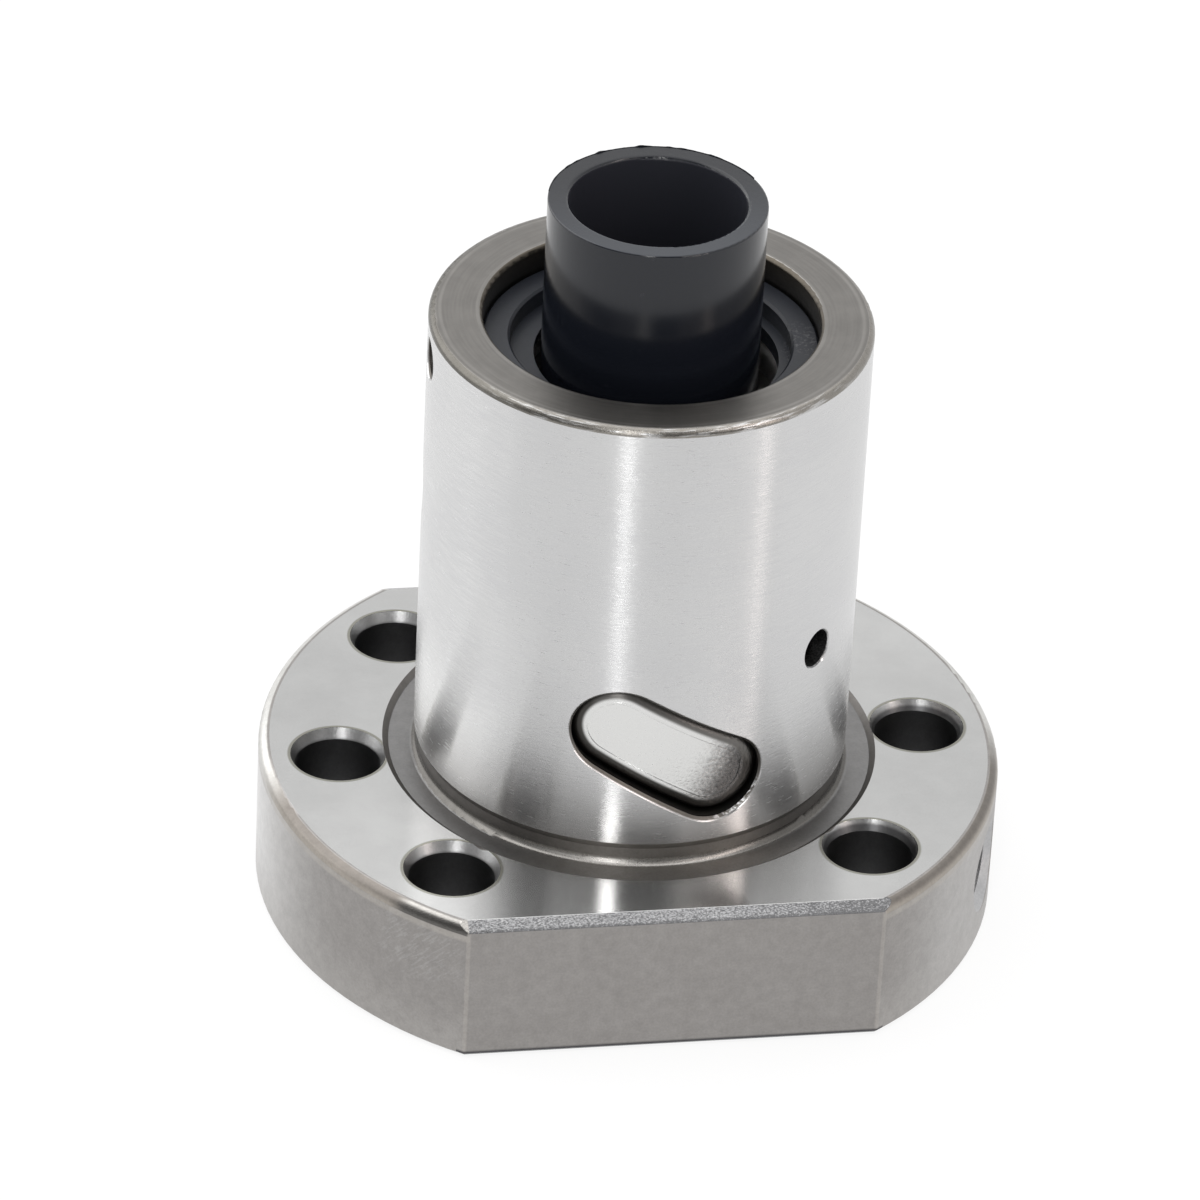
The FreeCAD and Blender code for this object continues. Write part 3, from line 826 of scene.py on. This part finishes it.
print("mottle from", SHADE_LOW[0], "to", SHADE_HIGH[0])

# %% Furnace skin
SKIN = (0.295, 0.282, 0.272, 1)
RIM_SKIN = (0.31, 0.297, 0.287, 1)
SKIN_CLOUD = 0.35
SKIN_GRAIN = 6.0
SKIN_ROUGHNESS = 0.38
SKIN_SWING = 0.1
SKIN_DEPTH = 0.02
SKIN_BUMP = 0.3
SPARKLE_GRAIN = 10.0
SPARKLE_HEIGHT = 4
NICK_HEIGHT = 2
FEATHER_HEIGHT = 3
HOLE_TEARING = 0.5
SCRAPE_TEARING = 0.7
SMOOTHED = 0.8
END_POLISH = 0.5


def furnace_skin(place, on):
    grain = place.noise(SKIN_GRAIN, detail=3.0, roughness=0.6)
    tone = place.noise(SKIN_CLOUD, detail=3.0, roughness=0.6).rises(*EVEN).blend(SKIN, RIM_SKIN)
    for mask, colour in skin_layers(place, on):
        tone = mask.blend(tone, colour)
    mottled = {0: 1.0, 6: tone, 7: skin_mottle(place, on, grain)}
    tone = place.node("ShaderNodeMix", {"data_type": "RGBA", "blend_type": "MULTIPLY"}, mottled, 2)
    rough = on.flat_edge + HOLE_TEARING * on.hole_edge + on.torn + SCRAPE_TEARING * on.scrape
    height = grain * (1 - SMOOTHED * (on.relief_round + on.end))
    height = height + SPARKLE_HEIGHT * place.noise(SPARKLE_GRAIN, detail=1.0) * rough
    height = height + NICK_HEIGHT * on.nicks + FEATHER_HEIGHT * on.feathers
    polished = rough + on.relief_round + on.end_edge + END_POLISH * on.end
    return place.node("ShaderNodeBsdfPrincipled", None, {
        "Base Color": tone,
        "Metallic": 1.0,
        "Roughness": SKIN_ROUGHNESS - SKIN_SWING / 2 + SKIN_SWING * (grain - polished),
        "Normal": height.bump(SKIN_DEPTH, SKIN_BUMP),
    })


print("skin", SKIN[:3], "roughness", SKIN_ROUGHNESS)

# %% [markdown]
# ### The nut's material
#
# The three finishes meet in Mix Shaders, whose factors are the masks of the ground surfaces.
# Mixing colours alone would be lighter, but the ground surfaces stretch their reflections and
# the skin doesn't, and such a difference takes whole shaders.


# %% Nut steel
def nut_steel():
    material, output, place = new_material("nut_steel")
    on = axes(place)
    mark_ground(on)
    surface = furnace_skin(place, on)
    for mask, ground in ((on.ground, ground_cylinder(place, on)), (on.face, ground_face(place, on))):
        surface = place.node("ShaderNodeMixShader", None, {0: mask, 1: surface, 2: ground})
    finish_surface(output, surface)
    return material


finishes["nut_steel"] = nut_steel()
print("nut steel nodes", len(finishes["nut_steel"].node_tree.nodes))

# %% [markdown]
# ## The return inserts
#
# An insert is sintered and left as it comes: satin where the die pressed it flat, and pebbled
# towards its lower end, which is painted much darker, partly a painted shade. Its rounded border,
# where it drops into the pocket, is painted dark as a painted shade, less so along its upper part.
# The distance from a line through the insert's two round ends tells flat from border, so one
# mask follows every insert round the body. It lies a little off the middle, so that the painted
# shade of the border is narrower at the upper left.

# %% Distances and borders on an insert
INSERT_END_SIDE = 3.06
INSERT_END_UP = -1.82
INSERT_SHIFT_SIDE = -0.12
INSERT_SHIFT_UP = 0.16


def insert_reach(place):
    """Distance from the middle line of the nearest insert's flat, in mm."""
    sideways, up = insert_axes(place)
    sideways = sideways - INSERT_SHIFT_SIDE
    up = up - INSERT_SHIFT_UP
    half = math.hypot(INSERT_END_SIDE, INSERT_END_UP)
    along_side = INSERT_END_SIDE / half
    along_up = INSERT_END_UP / half
    along = place.math("MINIMUM", along_side * sideways + along_up * up, half)
    along = place.math("MAXIMUM", along, -half)
    off_side = sideways - along_side * along
    off_up = up - along_up * along
    return (off_side * off_side + off_up * off_up).root()


def slanted_border(sideways, up, pebbles, weights, span):
    """A soft border that runs slanted over an insert and is frayed by its pebbles."""
    side_weight, up_weight, pebble_weight = weights
    return (side_weight * sideways + up_weight * up + pebble_weight * pebbles).rises(*span)


print("insert is", round(2 * math.hypot(INSERT_END_SIDE, INSERT_END_UP), 2), "mm between its end centres")

# %% Insert steel
INSERT_FLAT_R = BODY_R - 0.6
INSERT_DEPTH_R = (INSERT_FLAT_R - 0.3, INSERT_FLAT_R - 0.05)
INSERT_BRIGHT = (0.69, 0.69, 0.68, 1)
INSERT_PEBBLED_SHADE = (0.10, 0.098, 0.097, 1)
INSERT_BORDER_SHADE = (0.060, 0.057, 0.053, 1)
INSERT_BORDER_AT = (2.0, 2.25)
INSERT_UPPER_BORDER_SHADE = (0.15, 0.145, 0.138, 1)
# weights of sideways, upwards and pebbles, and the span of the sum in which the border fades
LOW_SIDE = ((0.1, -0.35, 0.6), (0.1, 0.9))
LOWER_END = ((0.26, -0.12, 0.5), (0.75, 1.6))
UPPER_BORDER = ((0.5, 1.0, 0.0), (0.9, 1.9))
PEBBLE_GRAIN = 4.6
PEBBLE_LEAST = 0.15
PEBBLE_LOW_SIDE = 0.8
INSERT_GRAIN = 9.0
INSERT_GRAIN_HEIGHT = 0.15
PRESSED_LINE_AT = (1.78, 1.86, 0.06)
PRESSED_LINE_HEIGHT = 0.9
INSERT_ROUGHNESS = 0.22
INSERT_SWING = 0.08
BORDER_ROUGHER = 0.1
INSERT_DEPTH = 0.05
INSERT_BUMP = 0.4


def deflector_steel():
    material, output, place = new_material("deflector_steel")
    sideways, up = insert_axes(place)
    reach = insert_reach(place)
    flat = reach.falls(*INSERT_BORDER_AT) * axes(place).r.rises(*INSERT_DEPTH_R)
    pebbles = place.noise(PEBBLE_GRAIN)
    grain = place.noise(INSERT_GRAIN)
    low_side, lower_end, upper_border = [
        slanted_border(sideways, up, pebbles, *border) for border in (LOW_SIDE, LOWER_END, UPPER_BORDER)]
    # painted shade on the border, lighter along its upper part
    border_shade = upper_border.blend(INSERT_BORDER_SHADE, INSERT_UPPER_BORDER_SHADE)
    height = pebbles * (PEBBLE_LEAST + PEBBLE_LOW_SIDE * low_side + lower_end)
    height = height + INSERT_GRAIN_HEIGHT * grain + PRESSED_LINE_HEIGHT * reach.within(*PRESSED_LINE_AT)
    finish_surface(output, place.node("ShaderNodeBsdfPrincipled", None, {
        # the pebbled lower end is painted darker, partly a painted shade
        "Base Color": flat.blend(border_shade, lower_end.blend(INSERT_BRIGHT, INSERT_PEBBLED_SHADE)),
        "Metallic": 1.0,
        "Roughness": INSERT_ROUGHNESS + INSERT_SWING * grain + BORDER_ROUGHER * (1 - flat),
        "Normal": height.bump(INSERT_DEPTH, INSERT_BUMP),
    }))
    return material


finishes["deflector_steel"] = deflector_steel()
print("insert flat at radius", INSERT_FLAT_R)

# %% [markdown]
# ## Balls and set screw
#
# Bearing balls are lapped to a mirror, and only a film of oil breaks it. The set screw is black
# oxide, a thin dark layer on steel that is greyer in patches. Both are one shader with a little
# noise, so one function makes them.

# %% Ball and screw steel
BALL_BRIGHT = (0.75, 0.75, 0.76, 1)
BALL_FILM = (0.68, 0.675, 0.66, 1)
BALL_ROUGHNESS = 0.06
OXIDE_BLACK = (0.045, 0.045, 0.05, 1)
OXIDE_GREY = (0.09, 0.088, 0.086, 1)
OXIDE_ROUGHNESS = 0.34
FILM_GRAIN = 0.9
FILM_ROUGHER = 0.06
OILED_GRAIN = 10.0
OILED_SWING = 0.04


def oiled_steel(name, colour, film, roughness):
    """Smooth steel whose film of oil or oxide comes and goes in patches."""
    material, output, place = new_material(name)
    patches = place.noise(FILM_GRAIN, detail=3.0, roughness=0.6).rises(*CRISP)
    finish_surface(output, place.node("ShaderNodeBsdfPrincipled", None, {
        "Base Color": patches.blend(colour, film),
        "Metallic": 1.0,
        "Roughness": roughness + FILM_ROUGHER * patches + OILED_SWING * place.noise(OILED_GRAIN),
    }))
    return material


finishes["ball_steel"] = oiled_steel("ball_steel", BALL_BRIGHT, BALL_FILM, BALL_ROUGHNESS)
finishes["screw_steel"] = oiled_steel("screw_steel", OXIDE_BLACK, OXIDE_GREY, OXIDE_ROUGHNESS)
print("ball roughness", BALL_ROUGHNESS, "screw roughness", OXIDE_ROUGHNESS)

# %% [markdown]
# ## The wiper's plastic
#
# The wiper is moulded, so it is satin with a faint grain, and it was scuffed at the right where
# it was pushed into its seat. Real black plastic is never pure black, and a trace of blue sets
# it off from the brown of the steel. The scuff is noise cut off high, inside a soft patch.

# %% Wiper plastic
WIPER_BLACK = (0.0115, 0.0140, 0.0205, 1)
WIPER_GRAIN = 7.0
WIPER_GRAIN_HEIGHT = 0.3
WIPER_ROUGHNESS = 0.36
WIPER_SWING = 0.1
WIPER_GLOSS = 0.35
WIPER_DEPTH = 0.05
WIPER_BUMP = 0.35
WIPER_SCUFF = (0.110, 0.110, 0.118, 1)
SCUFF_X = 9.5
SCUFF_Y = -0.9
SCUFF_LONG = 0.35
SCUFF_REACH = (0.6, 1.5)
SCUFF_GRAIN = 3.4
SCUFF_CUT = (0.53, 0.6)
SCUFF_SHARE = 0.6


def wiper_plastic():
    material, output, place = new_material("wiper_plastic")
    at = axes(place)
    grain = place.noise(WIPER_GRAIN, detail=3.0, roughness=0.6)
    across = at.x - SCUFF_X
    along = at.y - SCUFF_Y
    near = (across * across + SCUFF_LONG * along * along).root().falls(*SCUFF_REACH)
    scuffs = near * place.noise(SCUFF_GRAIN, detail=3.0, roughness=0.7).rises(*SCUFF_CUT)
    height = WIPER_GRAIN_HEIGHT * grain + scuffs
    finish_surface(output, place.node("ShaderNodeBsdfPrincipled", None, {
        "Base Color": (SCUFF_SHARE * scuffs).blend(WIPER_BLACK, WIPER_SCUFF),
        "Roughness": WIPER_ROUGHNESS + WIPER_SWING * (grain - scuffs),
        "Specular IOR Level": WIPER_GLOSS,
        "Normal": height.bump(WIPER_DEPTH, WIPER_BUMP),
    }))
    return material


finishes["wiper_plastic"] = wiper_plastic()
print("wiper plastic scuffed at", SCUFF_X, SCUFF_Y)

# %% [markdown]
# ## The sleeve's plastic
#
# The sleeve is a cut tube: glossy outside from the die and duller in its bore. Its bore is
# painted lighter than the outside, a painted light, and the front of its cut end is painted
# paler, a painted light too. The die left faint lines along the tube, so the noise for the bump
# is stretched along Z. A few specks of fluff keep the black from looking empty.

# %% Sleeve plastic
SLEEVE_BLACK = (0.0064, 0.0076, 0.0110, 1)
SLEEVE_BORE_LIGHT_AND_FLUFF = (0.019, 0.020, 0.026, 1)
SLEEVE_INSIDE_R = SLEEVE_R - 1.3
SLEEVE_CUT_FRONT_LIGHT = (0.030, 0.034, 0.042, 1)
SLEEVE_CUT_FRONT_LIGHT_Y = (-6.5, 4)
SLEEVE_CUT_Z = (SLEEVE_TOP - 0.05, SLEEVE_TOP - 0.02)
SLEEVE_CUT_GRAIN = 4.0
SLEEVE_CUT_HEIGHT = 2
SLEEVE_LINES = (2.0, 2.0, 0.15)
SLEEVE_ROUGHNESS = 0.13
SLEEVE_SWING = 0.05
INSIDE_ROUGHER = 0.22
CUT_ROUGHER = 0.10
SLEEVE_GLOSS = 0.42
SLEEVE_DEPTH = 0.02
SLEEVE_BUMP = 0.2
FLUFF_GRAIN = 2.5
FLUFF_CUT = (0.68, 0.74)
FLUFF_SHARE = 0.3


def sleeve_plastic():
    material, output, place = new_material("sleeve_plastic")
    at = axes(place)
    inside = at.r.falls(SLEEVE_INSIDE_R, SLEEVE_INSIDE_R + SOFT)
    cut_end = at.z.rises(*SLEEVE_CUT_Z)
    drawn = place.scaled(*SLEEVE_LINES).noise(1.0, detail=3.0, roughness=0.6)
    fluff = place.noise(FLUFF_GRAIN).rises(*FLUFF_CUT)
    # the bore's colour is a painted light, and the fluff specks take a share of it
    tone = (inside + FLUFF_SHARE * fluff).blend(SLEEVE_BLACK, SLEEVE_BORE_LIGHT_AND_FLUFF)
    height = drawn + SLEEVE_CUT_HEIGHT * cut_end * place.noise(SLEEVE_CUT_GRAIN)
    rougher = INSIDE_ROUGHER * inside + CUT_ROUGHER * cut_end
    finish_surface(output, place.node("ShaderNodeBsdfPrincipled", None, {
        # painted light on the front of the cut end
        "Base Color": (cut_end * at.y.falls(*SLEEVE_CUT_FRONT_LIGHT_Y)).blend(tone, SLEEVE_CUT_FRONT_LIGHT),
        "Roughness": SLEEVE_ROUGHNESS + SLEEVE_SWING * drawn + rougher,
        "Specular IOR Level": SLEEVE_GLOSS,
        "Normal": height.bump(SLEEVE_DEPTH, SLEEVE_BUMP),
    }))
    return material


finishes["sleeve_plastic"] = sleeve_plastic()
print("sleeve radius", round(SLEEVE_R, 3), "bore from", round(SLEEVE_INSIDE_R, 3))

# %% [markdown]
# ## Every solid gets its finish
#
# The record says which material slot each solid belongs to. Assigning by hand would work for
# eight pieces, but there are forty-eight balls as well, so a loop over the record does it, and
# a solid that is added later gets its finish by itself.

# %% Give every CAD node its finish
for row in frame["record"]["subparts"]:
    node = frame["nodes"][row["node"]]
    node.data.materials.clear()
    node.data.materials.append(finishes[row["material_slot"]])
print("finishes", sorted(finishes))

# %% [markdown]
# ## The thread in the oil port
#
# The oil port is tapped, and the solid stops at the tap drill's size. The thread could be drawn
# with bump, but from the side its crests show against the light. A small four-sided section
# that is spun about the port's axis, and moved a little at each step, makes the whole helix in
# one call.

# %% Thread of the oil port
THREAD_PITCH = 1.0
THREAD_WALL_R = 2.53
THREAD_CREST_R = 2.28
THREAD_FOOT = 0.40
THREAD_TIP = 0.07
THREAD_STEPS = 36
THREAD_START = 16.7
THREAD_TURNS = 6
SAME_PLACE = 1e-5


def object_from(name, shape, material):
    """Makes an object from a bmesh and puts it in the scene."""
    mesh = bpy.data.meshes.new(name)
    shape.to_mesh(mesh)
    shape.free()
    mesh.materials.append(material)
    made = bpy.data.objects.new(name, mesh)
    bpy.context.scene.collection.objects.link(made)
    return made


def new_piece(name, shape, body, slot):
    """Makes a piece of the nut, gives it its finish, and ties it to its body."""
    made = object_from(name, shape, finishes[slot])
    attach(made, body)
    return made


def oil_port_thread():
    port = mounts["oil_port"]
    shape = bmesh.new()
    section = [(-THREAD_FOOT, THREAD_WALL_R), (-THREAD_TIP, THREAD_CREST_R),
               (THREAD_TIP, THREAD_CREST_R), (THREAD_FOOT, THREAD_WALL_R)]
    corners = [shape.verts.new((THREAD_START + along, out, 0)) for along, out in section]
    face = shape.faces.new(corners)
    bmesh.ops.spin(shape, geom=corners + face.edges[:] + [face], cent=(0, 0, 0), axis=(1, 0, 0),
                   dvec=(THREAD_PITCH / THREAD_STEPS, 0, 0), angle=math.tau * THREAD_TURNS,
                   steps=THREAD_STEPS * THREAD_TURNS)
    bmesh.ops.remove_doubles(shape, verts=shape.verts, dist=SAME_PLACE)
    bmesh.ops.recalc_face_normals(shape, faces=shape.faces)
    turn = Matrix.Rotation(math.atan2(PORT_AXIS.y, PORT_AXIS.x), 4, "Z")
    lift = Matrix.Translation((0, 0, port["pos_m"][2]))
    bmesh.ops.transform(shape, matrix=lift @ turn @ Matrix.Scale(MM, 4), verts=shape.verts)
    return new_piece("oil_port_thread", shape, "nut", "nut_steel")


thread = oil_port_thread()
print("thread faces", len(thread.data.polygons))

# %% [markdown]
# ## The sleeve's burr
#
# The tube was parted with a knife, which left a ragged lip on the far side of its upper edge. A
# ring of small quads stands on the edge, each corner lifted by a different amount, and a wall
# thickness turns it into a solid lip. Waves of three lengths give the amounts, because they
# look torn and still come out the same on each run.

# %% Burr on the sleeve
BURR_R = SLEEVE_R - 0.06
BURR_THICK = 0.05
BURR_SINK = 0.06
BURR_LOW = 0.015
BURR_HIGH = 0.11
BURR_FROM = math.radians(20)
BURR_TO = math.radians(165)
BURR_STEPS = 150
# waves in a full turn, start in radians, size
BURR_WAVES = ((17, 0, 1.0), (29, 1, 0.7), (47, 2, 0.5))


def burr_height(angle):
    """Ragged height in mm that dies out at both ends of the burr."""
    share = min(1.0, max(0.0, (angle - BURR_FROM) / (BURR_TO - BURR_FROM)))
    wave = sum(size * math.sin(count * angle + start) for count, start, size in BURR_WAVES)
    tallest = sum(size for count, start, size in BURR_WAVES)
    return BURR_LOW + BURR_HIGH * max(0.0, wave / tallest) * math.sin(math.pi * share)


def sleeve_burr():
    shape = bmesh.new()
    begin = Vector((BURR_R * math.cos(BURR_FROM), BURR_R * math.sin(BURR_FROM), SLEEVE_TOP - BURR_SINK))
    foot = shape.verts.new(begin)
    head = shape.verts.new(begin + Vector((0, 0, BURR_SINK)))
    edge = shape.edges.new((foot, head))
    bmesh.ops.spin(shape, geom=[foot, head, edge], cent=(0, 0, 0), axis=(0, 0, 1),
                   angle=BURR_TO - BURR_FROM, steps=BURR_STEPS)
    for vert in shape.verts:
        if vert.co.z > SLEEVE_TOP - BURR_SINK / 2:
            vert.co.z += burr_height(math.atan2(vert.co.y, vert.co.x))
    bmesh.ops.solidify(shape, geom=shape.faces[:], thickness=BURR_THICK)
    bmesh.ops.recalc_face_normals(shape, faces=shape.faces)
    bmesh.ops.scale(shape, vec=(MM, MM, MM), verts=shape.verts)
    return new_piece("sleeve_burr", shape, "sleeve", "sleeve_plastic")


burr = sleeve_burr()
print("burr faces", len(burr.data.polygons))

# %% [markdown]
# ## The floor
#
# The nut stands on white paper. A lit diffuse sheet would look grey at its far end, so most of
# the paper glows for rays that see it straight, in a mirror or through glass, and the rest is
# diffuse and keeps the nut's shadow. From below the sheet is clear, so that the nut's underside
# can be looked at, and it lies a hair lower than the nut, because two faces in one place flicker.

# %% Floor
FLOOR_SIZE = 4.0
FLOOR_GLOW = 0.85
FLOOR_GAP = 0.02
PAPER = (0.9, 0.9, 0.9, 1)
WHITE = (1, 1, 1, 1)
SEEING_RAYS = ("Is Camera Ray", "Is Glossy Ray", "Is Transmission Ray")


def seen(start):
    """1 for a ray that shows the background itself, 0 for one that only carries its light."""
    camera_ray, glossy_ray, clear_ray = [
        start.node("ShaderNodeLightPath", None, None, ray) for ray in SEEING_RAYS]
    return start.math("MINIMUM", camera_ray + glossy_ray + clear_ray, 1.0)


def white_paper():
    material, output, place = new_material("white_paper")
    paper = place.node("ShaderNodeBsdfDiffuse", None, {"Color": PAPER})
    glow = place.node("ShaderNodeEmission", None, {"Color": WHITE, "Strength": 1.0})
    sheet = place.node("ShaderNodeMixShader", None, {0: seen(place) * FLOOR_GLOW, 1: paper, 2: glow})
    clear = place.node("ShaderNodeBsdfTransparent")
    underneath = place.node("ShaderNodeNewGeometry", None, None, "Backfacing")
    finish_surface(output, place.node("ShaderNodeMixShader", None, {0: underneath, 1: sheet, 2: clear}))
    return material


paper_shape = bmesh.new()
bmesh.ops.create_grid(paper_shape, x_segments=1, y_segments=1, size=FLOOR_SIZE / 2)
floor = object_from("floor", paper_shape, white_paper())
floor.location.z = -FLOOR_GAP * MM
print("floor", FLOOR_SIZE, "m wide,", FLOOR_GAP, "mm under the nut")

# %% [markdown]
# ## The light tent
#
# Shiny parts are photographed in a tent of white cloth, which gives light from everywhere and
# something white to reflect. The world can be that tent. What is seen of it is white, and the
# light that it gives is a little weaker, so that shadows stay on the floor.

# %% World
TENT_LIGHT = 0.8
world = bpy.data.worlds.new("tent")
bpy.context.scene.world = world
world.use_nodes = True
world.node_tree.nodes.clear()
sky = Wire(world.node_tree)
sky_output = world.node_tree.nodes.new("ShaderNodeOutputWorld")
soft = sky.node("ShaderNodeBackground", None, {"Color": WHITE, "Strength": TENT_LIGHT})
white = sky.node("ShaderNodeBackground", None, {"Color": WHITE, "Strength": 1.0})
finish_surface(sky_output, sky.node("ShaderNodeMixShader", None, {0: seen(sky), 1: soft, 2: white}))
print("tent light", TENT_LIGHT)

# %% [markdown]
# ## The room in front of the tent
#
# A tent is open towards the camera, so the front of polished steel shows a dim room there, and
# that is what makes it look like steel. The room is an upright screen on an arc, and a darker,
# narrow one before it is its doorway. A real wall would also light the nut and throw a shadow.
# These are seen by reflections only, because they are only there to be mirrored.

# %% Screens that only reflections see
SCREEN_STEPS = 24
SCREEN_MOTTLE = 0.1
SCREEN_GRAIN = 0.004
SCREENS = (
    # name, azimuths from the camera in degrees, heights and distance in metres, brightness
    ("dim_room", (-66, 70), (0.0, 1.3), 0.9, 0.30),
    ("dark_doorway", (1, 22), (0.05, 1.2), 0.85, 0.09),
)


def screen_glow(name, level):
    material, output, place = new_material(name)
    darker, lighter = [(level * share,) * 3 + (1,) for share in (1 - SCREEN_MOTTLE, 1 + SCREEN_MOTTLE)]
    shade = place.noise(SCREEN_GRAIN, detail=1.0).blend(darker, lighter)
    finish_surface(output, place.node("ShaderNodeEmission", None, {"Color": shade, "Strength": 1.0}))
    material.cycles.emission_sampling = "NONE"
    return material


def dim_screen(name, azimuths, heights, distance, level):
    """Upright screen on an arc round the nut, seen by reflections only."""
    shape = bmesh.new()
    first, last = [math.radians(azimuth) for azimuth in azimuths]
    begin = direction(CAMERA_AZIMUTH + first, 0) * distance
    foot, head = [shape.verts.new(begin + Vector((0, 0, height))) for height in heights]
    post = shape.edges.new((foot, head))
    bmesh.ops.spin(shape, geom=[foot, head, post], cent=(0, 0, 0), axis=(0, 0, 1),
                   angle=last - first, steps=SCREEN_STEPS)
    made = object_from(name, shape, screen_glow(name, level))
    made.visible_camera = False
    made.visible_diffuse = False
    made.visible_shadow = False


for screen in SCREENS:
    dim_screen(*screen)
print("screens", [screen[0] for screen in SCREENS])

# %% [markdown]
# ## The lamps
#
# Two narrow upright lamps stand in the opening, one near the camera and one far to its right,
# and the ground cylinder shows them as a white and a warm stripe. Two soft panels lift the tone
# beside the stripes, and a softbox at the left and one overhead give the shadows their
# direction. A lamp can be given in watts, but its angle and its brightness against white paper
# are what a mirror shows, so the watts are worked out from these.

# %% Lamps
LAMP_DISTANCE = 0.6
LAMPS = (
    # name, azimuth from the camera, elevation, width and height in degrees, brightness, colour
    ("window_strip", -7.5, 30, 5.8, 62, 7.6, (1.0, 1.0, 1.0)),
    ("warm_strip", 60, 30, 6, 60, 5.5, (1.0, 0.90, 0.86)),
    ("warm_panel", 47, 34, 32, 22, 0.9, (1.0, 0.95, 0.92)),
    ("window_glow", -27, 34, 20, 22, 0.6, (1.0, 1.0, 1.0)),
    ("left_softbox", -115, 35, 60, 60, 1.5, (1.0, 1.0, 1.0)),
    ("overhead", 170, 75, 60, 60, 0.8, (1.0, 1.0, 1.0)),
)


def lamp(name, azimuth, elevation, wide, tall, radiance, colour):
    """Area lamp that fills an angle, and faces the nut."""
    light = bpy.data.lights.new(name, "AREA")
    light.shape = "RECTANGLE"
    light.size = 2 * LAMP_DISTANCE * math.tan(math.radians(wide / 2))
    light.size_y = 2 * LAMP_DISTANCE * math.tan(math.radians(tall / 2))
    light.energy = radiance * light.size * light.size_y * math.pi
    light.color = colour
    made = bpy.data.objects.new(name, light)
    bpy.context.scene.collection.objects.link(made)
    made.visible_camera = False
    away = direction(CAMERA_AZIMUTH + math.radians(azimuth), math.radians(elevation))
    made.location = AIM + away * LAMP_DISTANCE
    made.rotation_euler = away.to_track_quat("Z", "Y").to_euler()
    return light.energy


for row in LAMPS:
    print(row[0], round(lamp(*row), 2), "W")

# %% [markdown]
# ## Colour management, and the end
#
# Standard view keeps colours as they are written.

# %% Colour management
bpy.context.scene.view_settings.view_transform = "Standard"
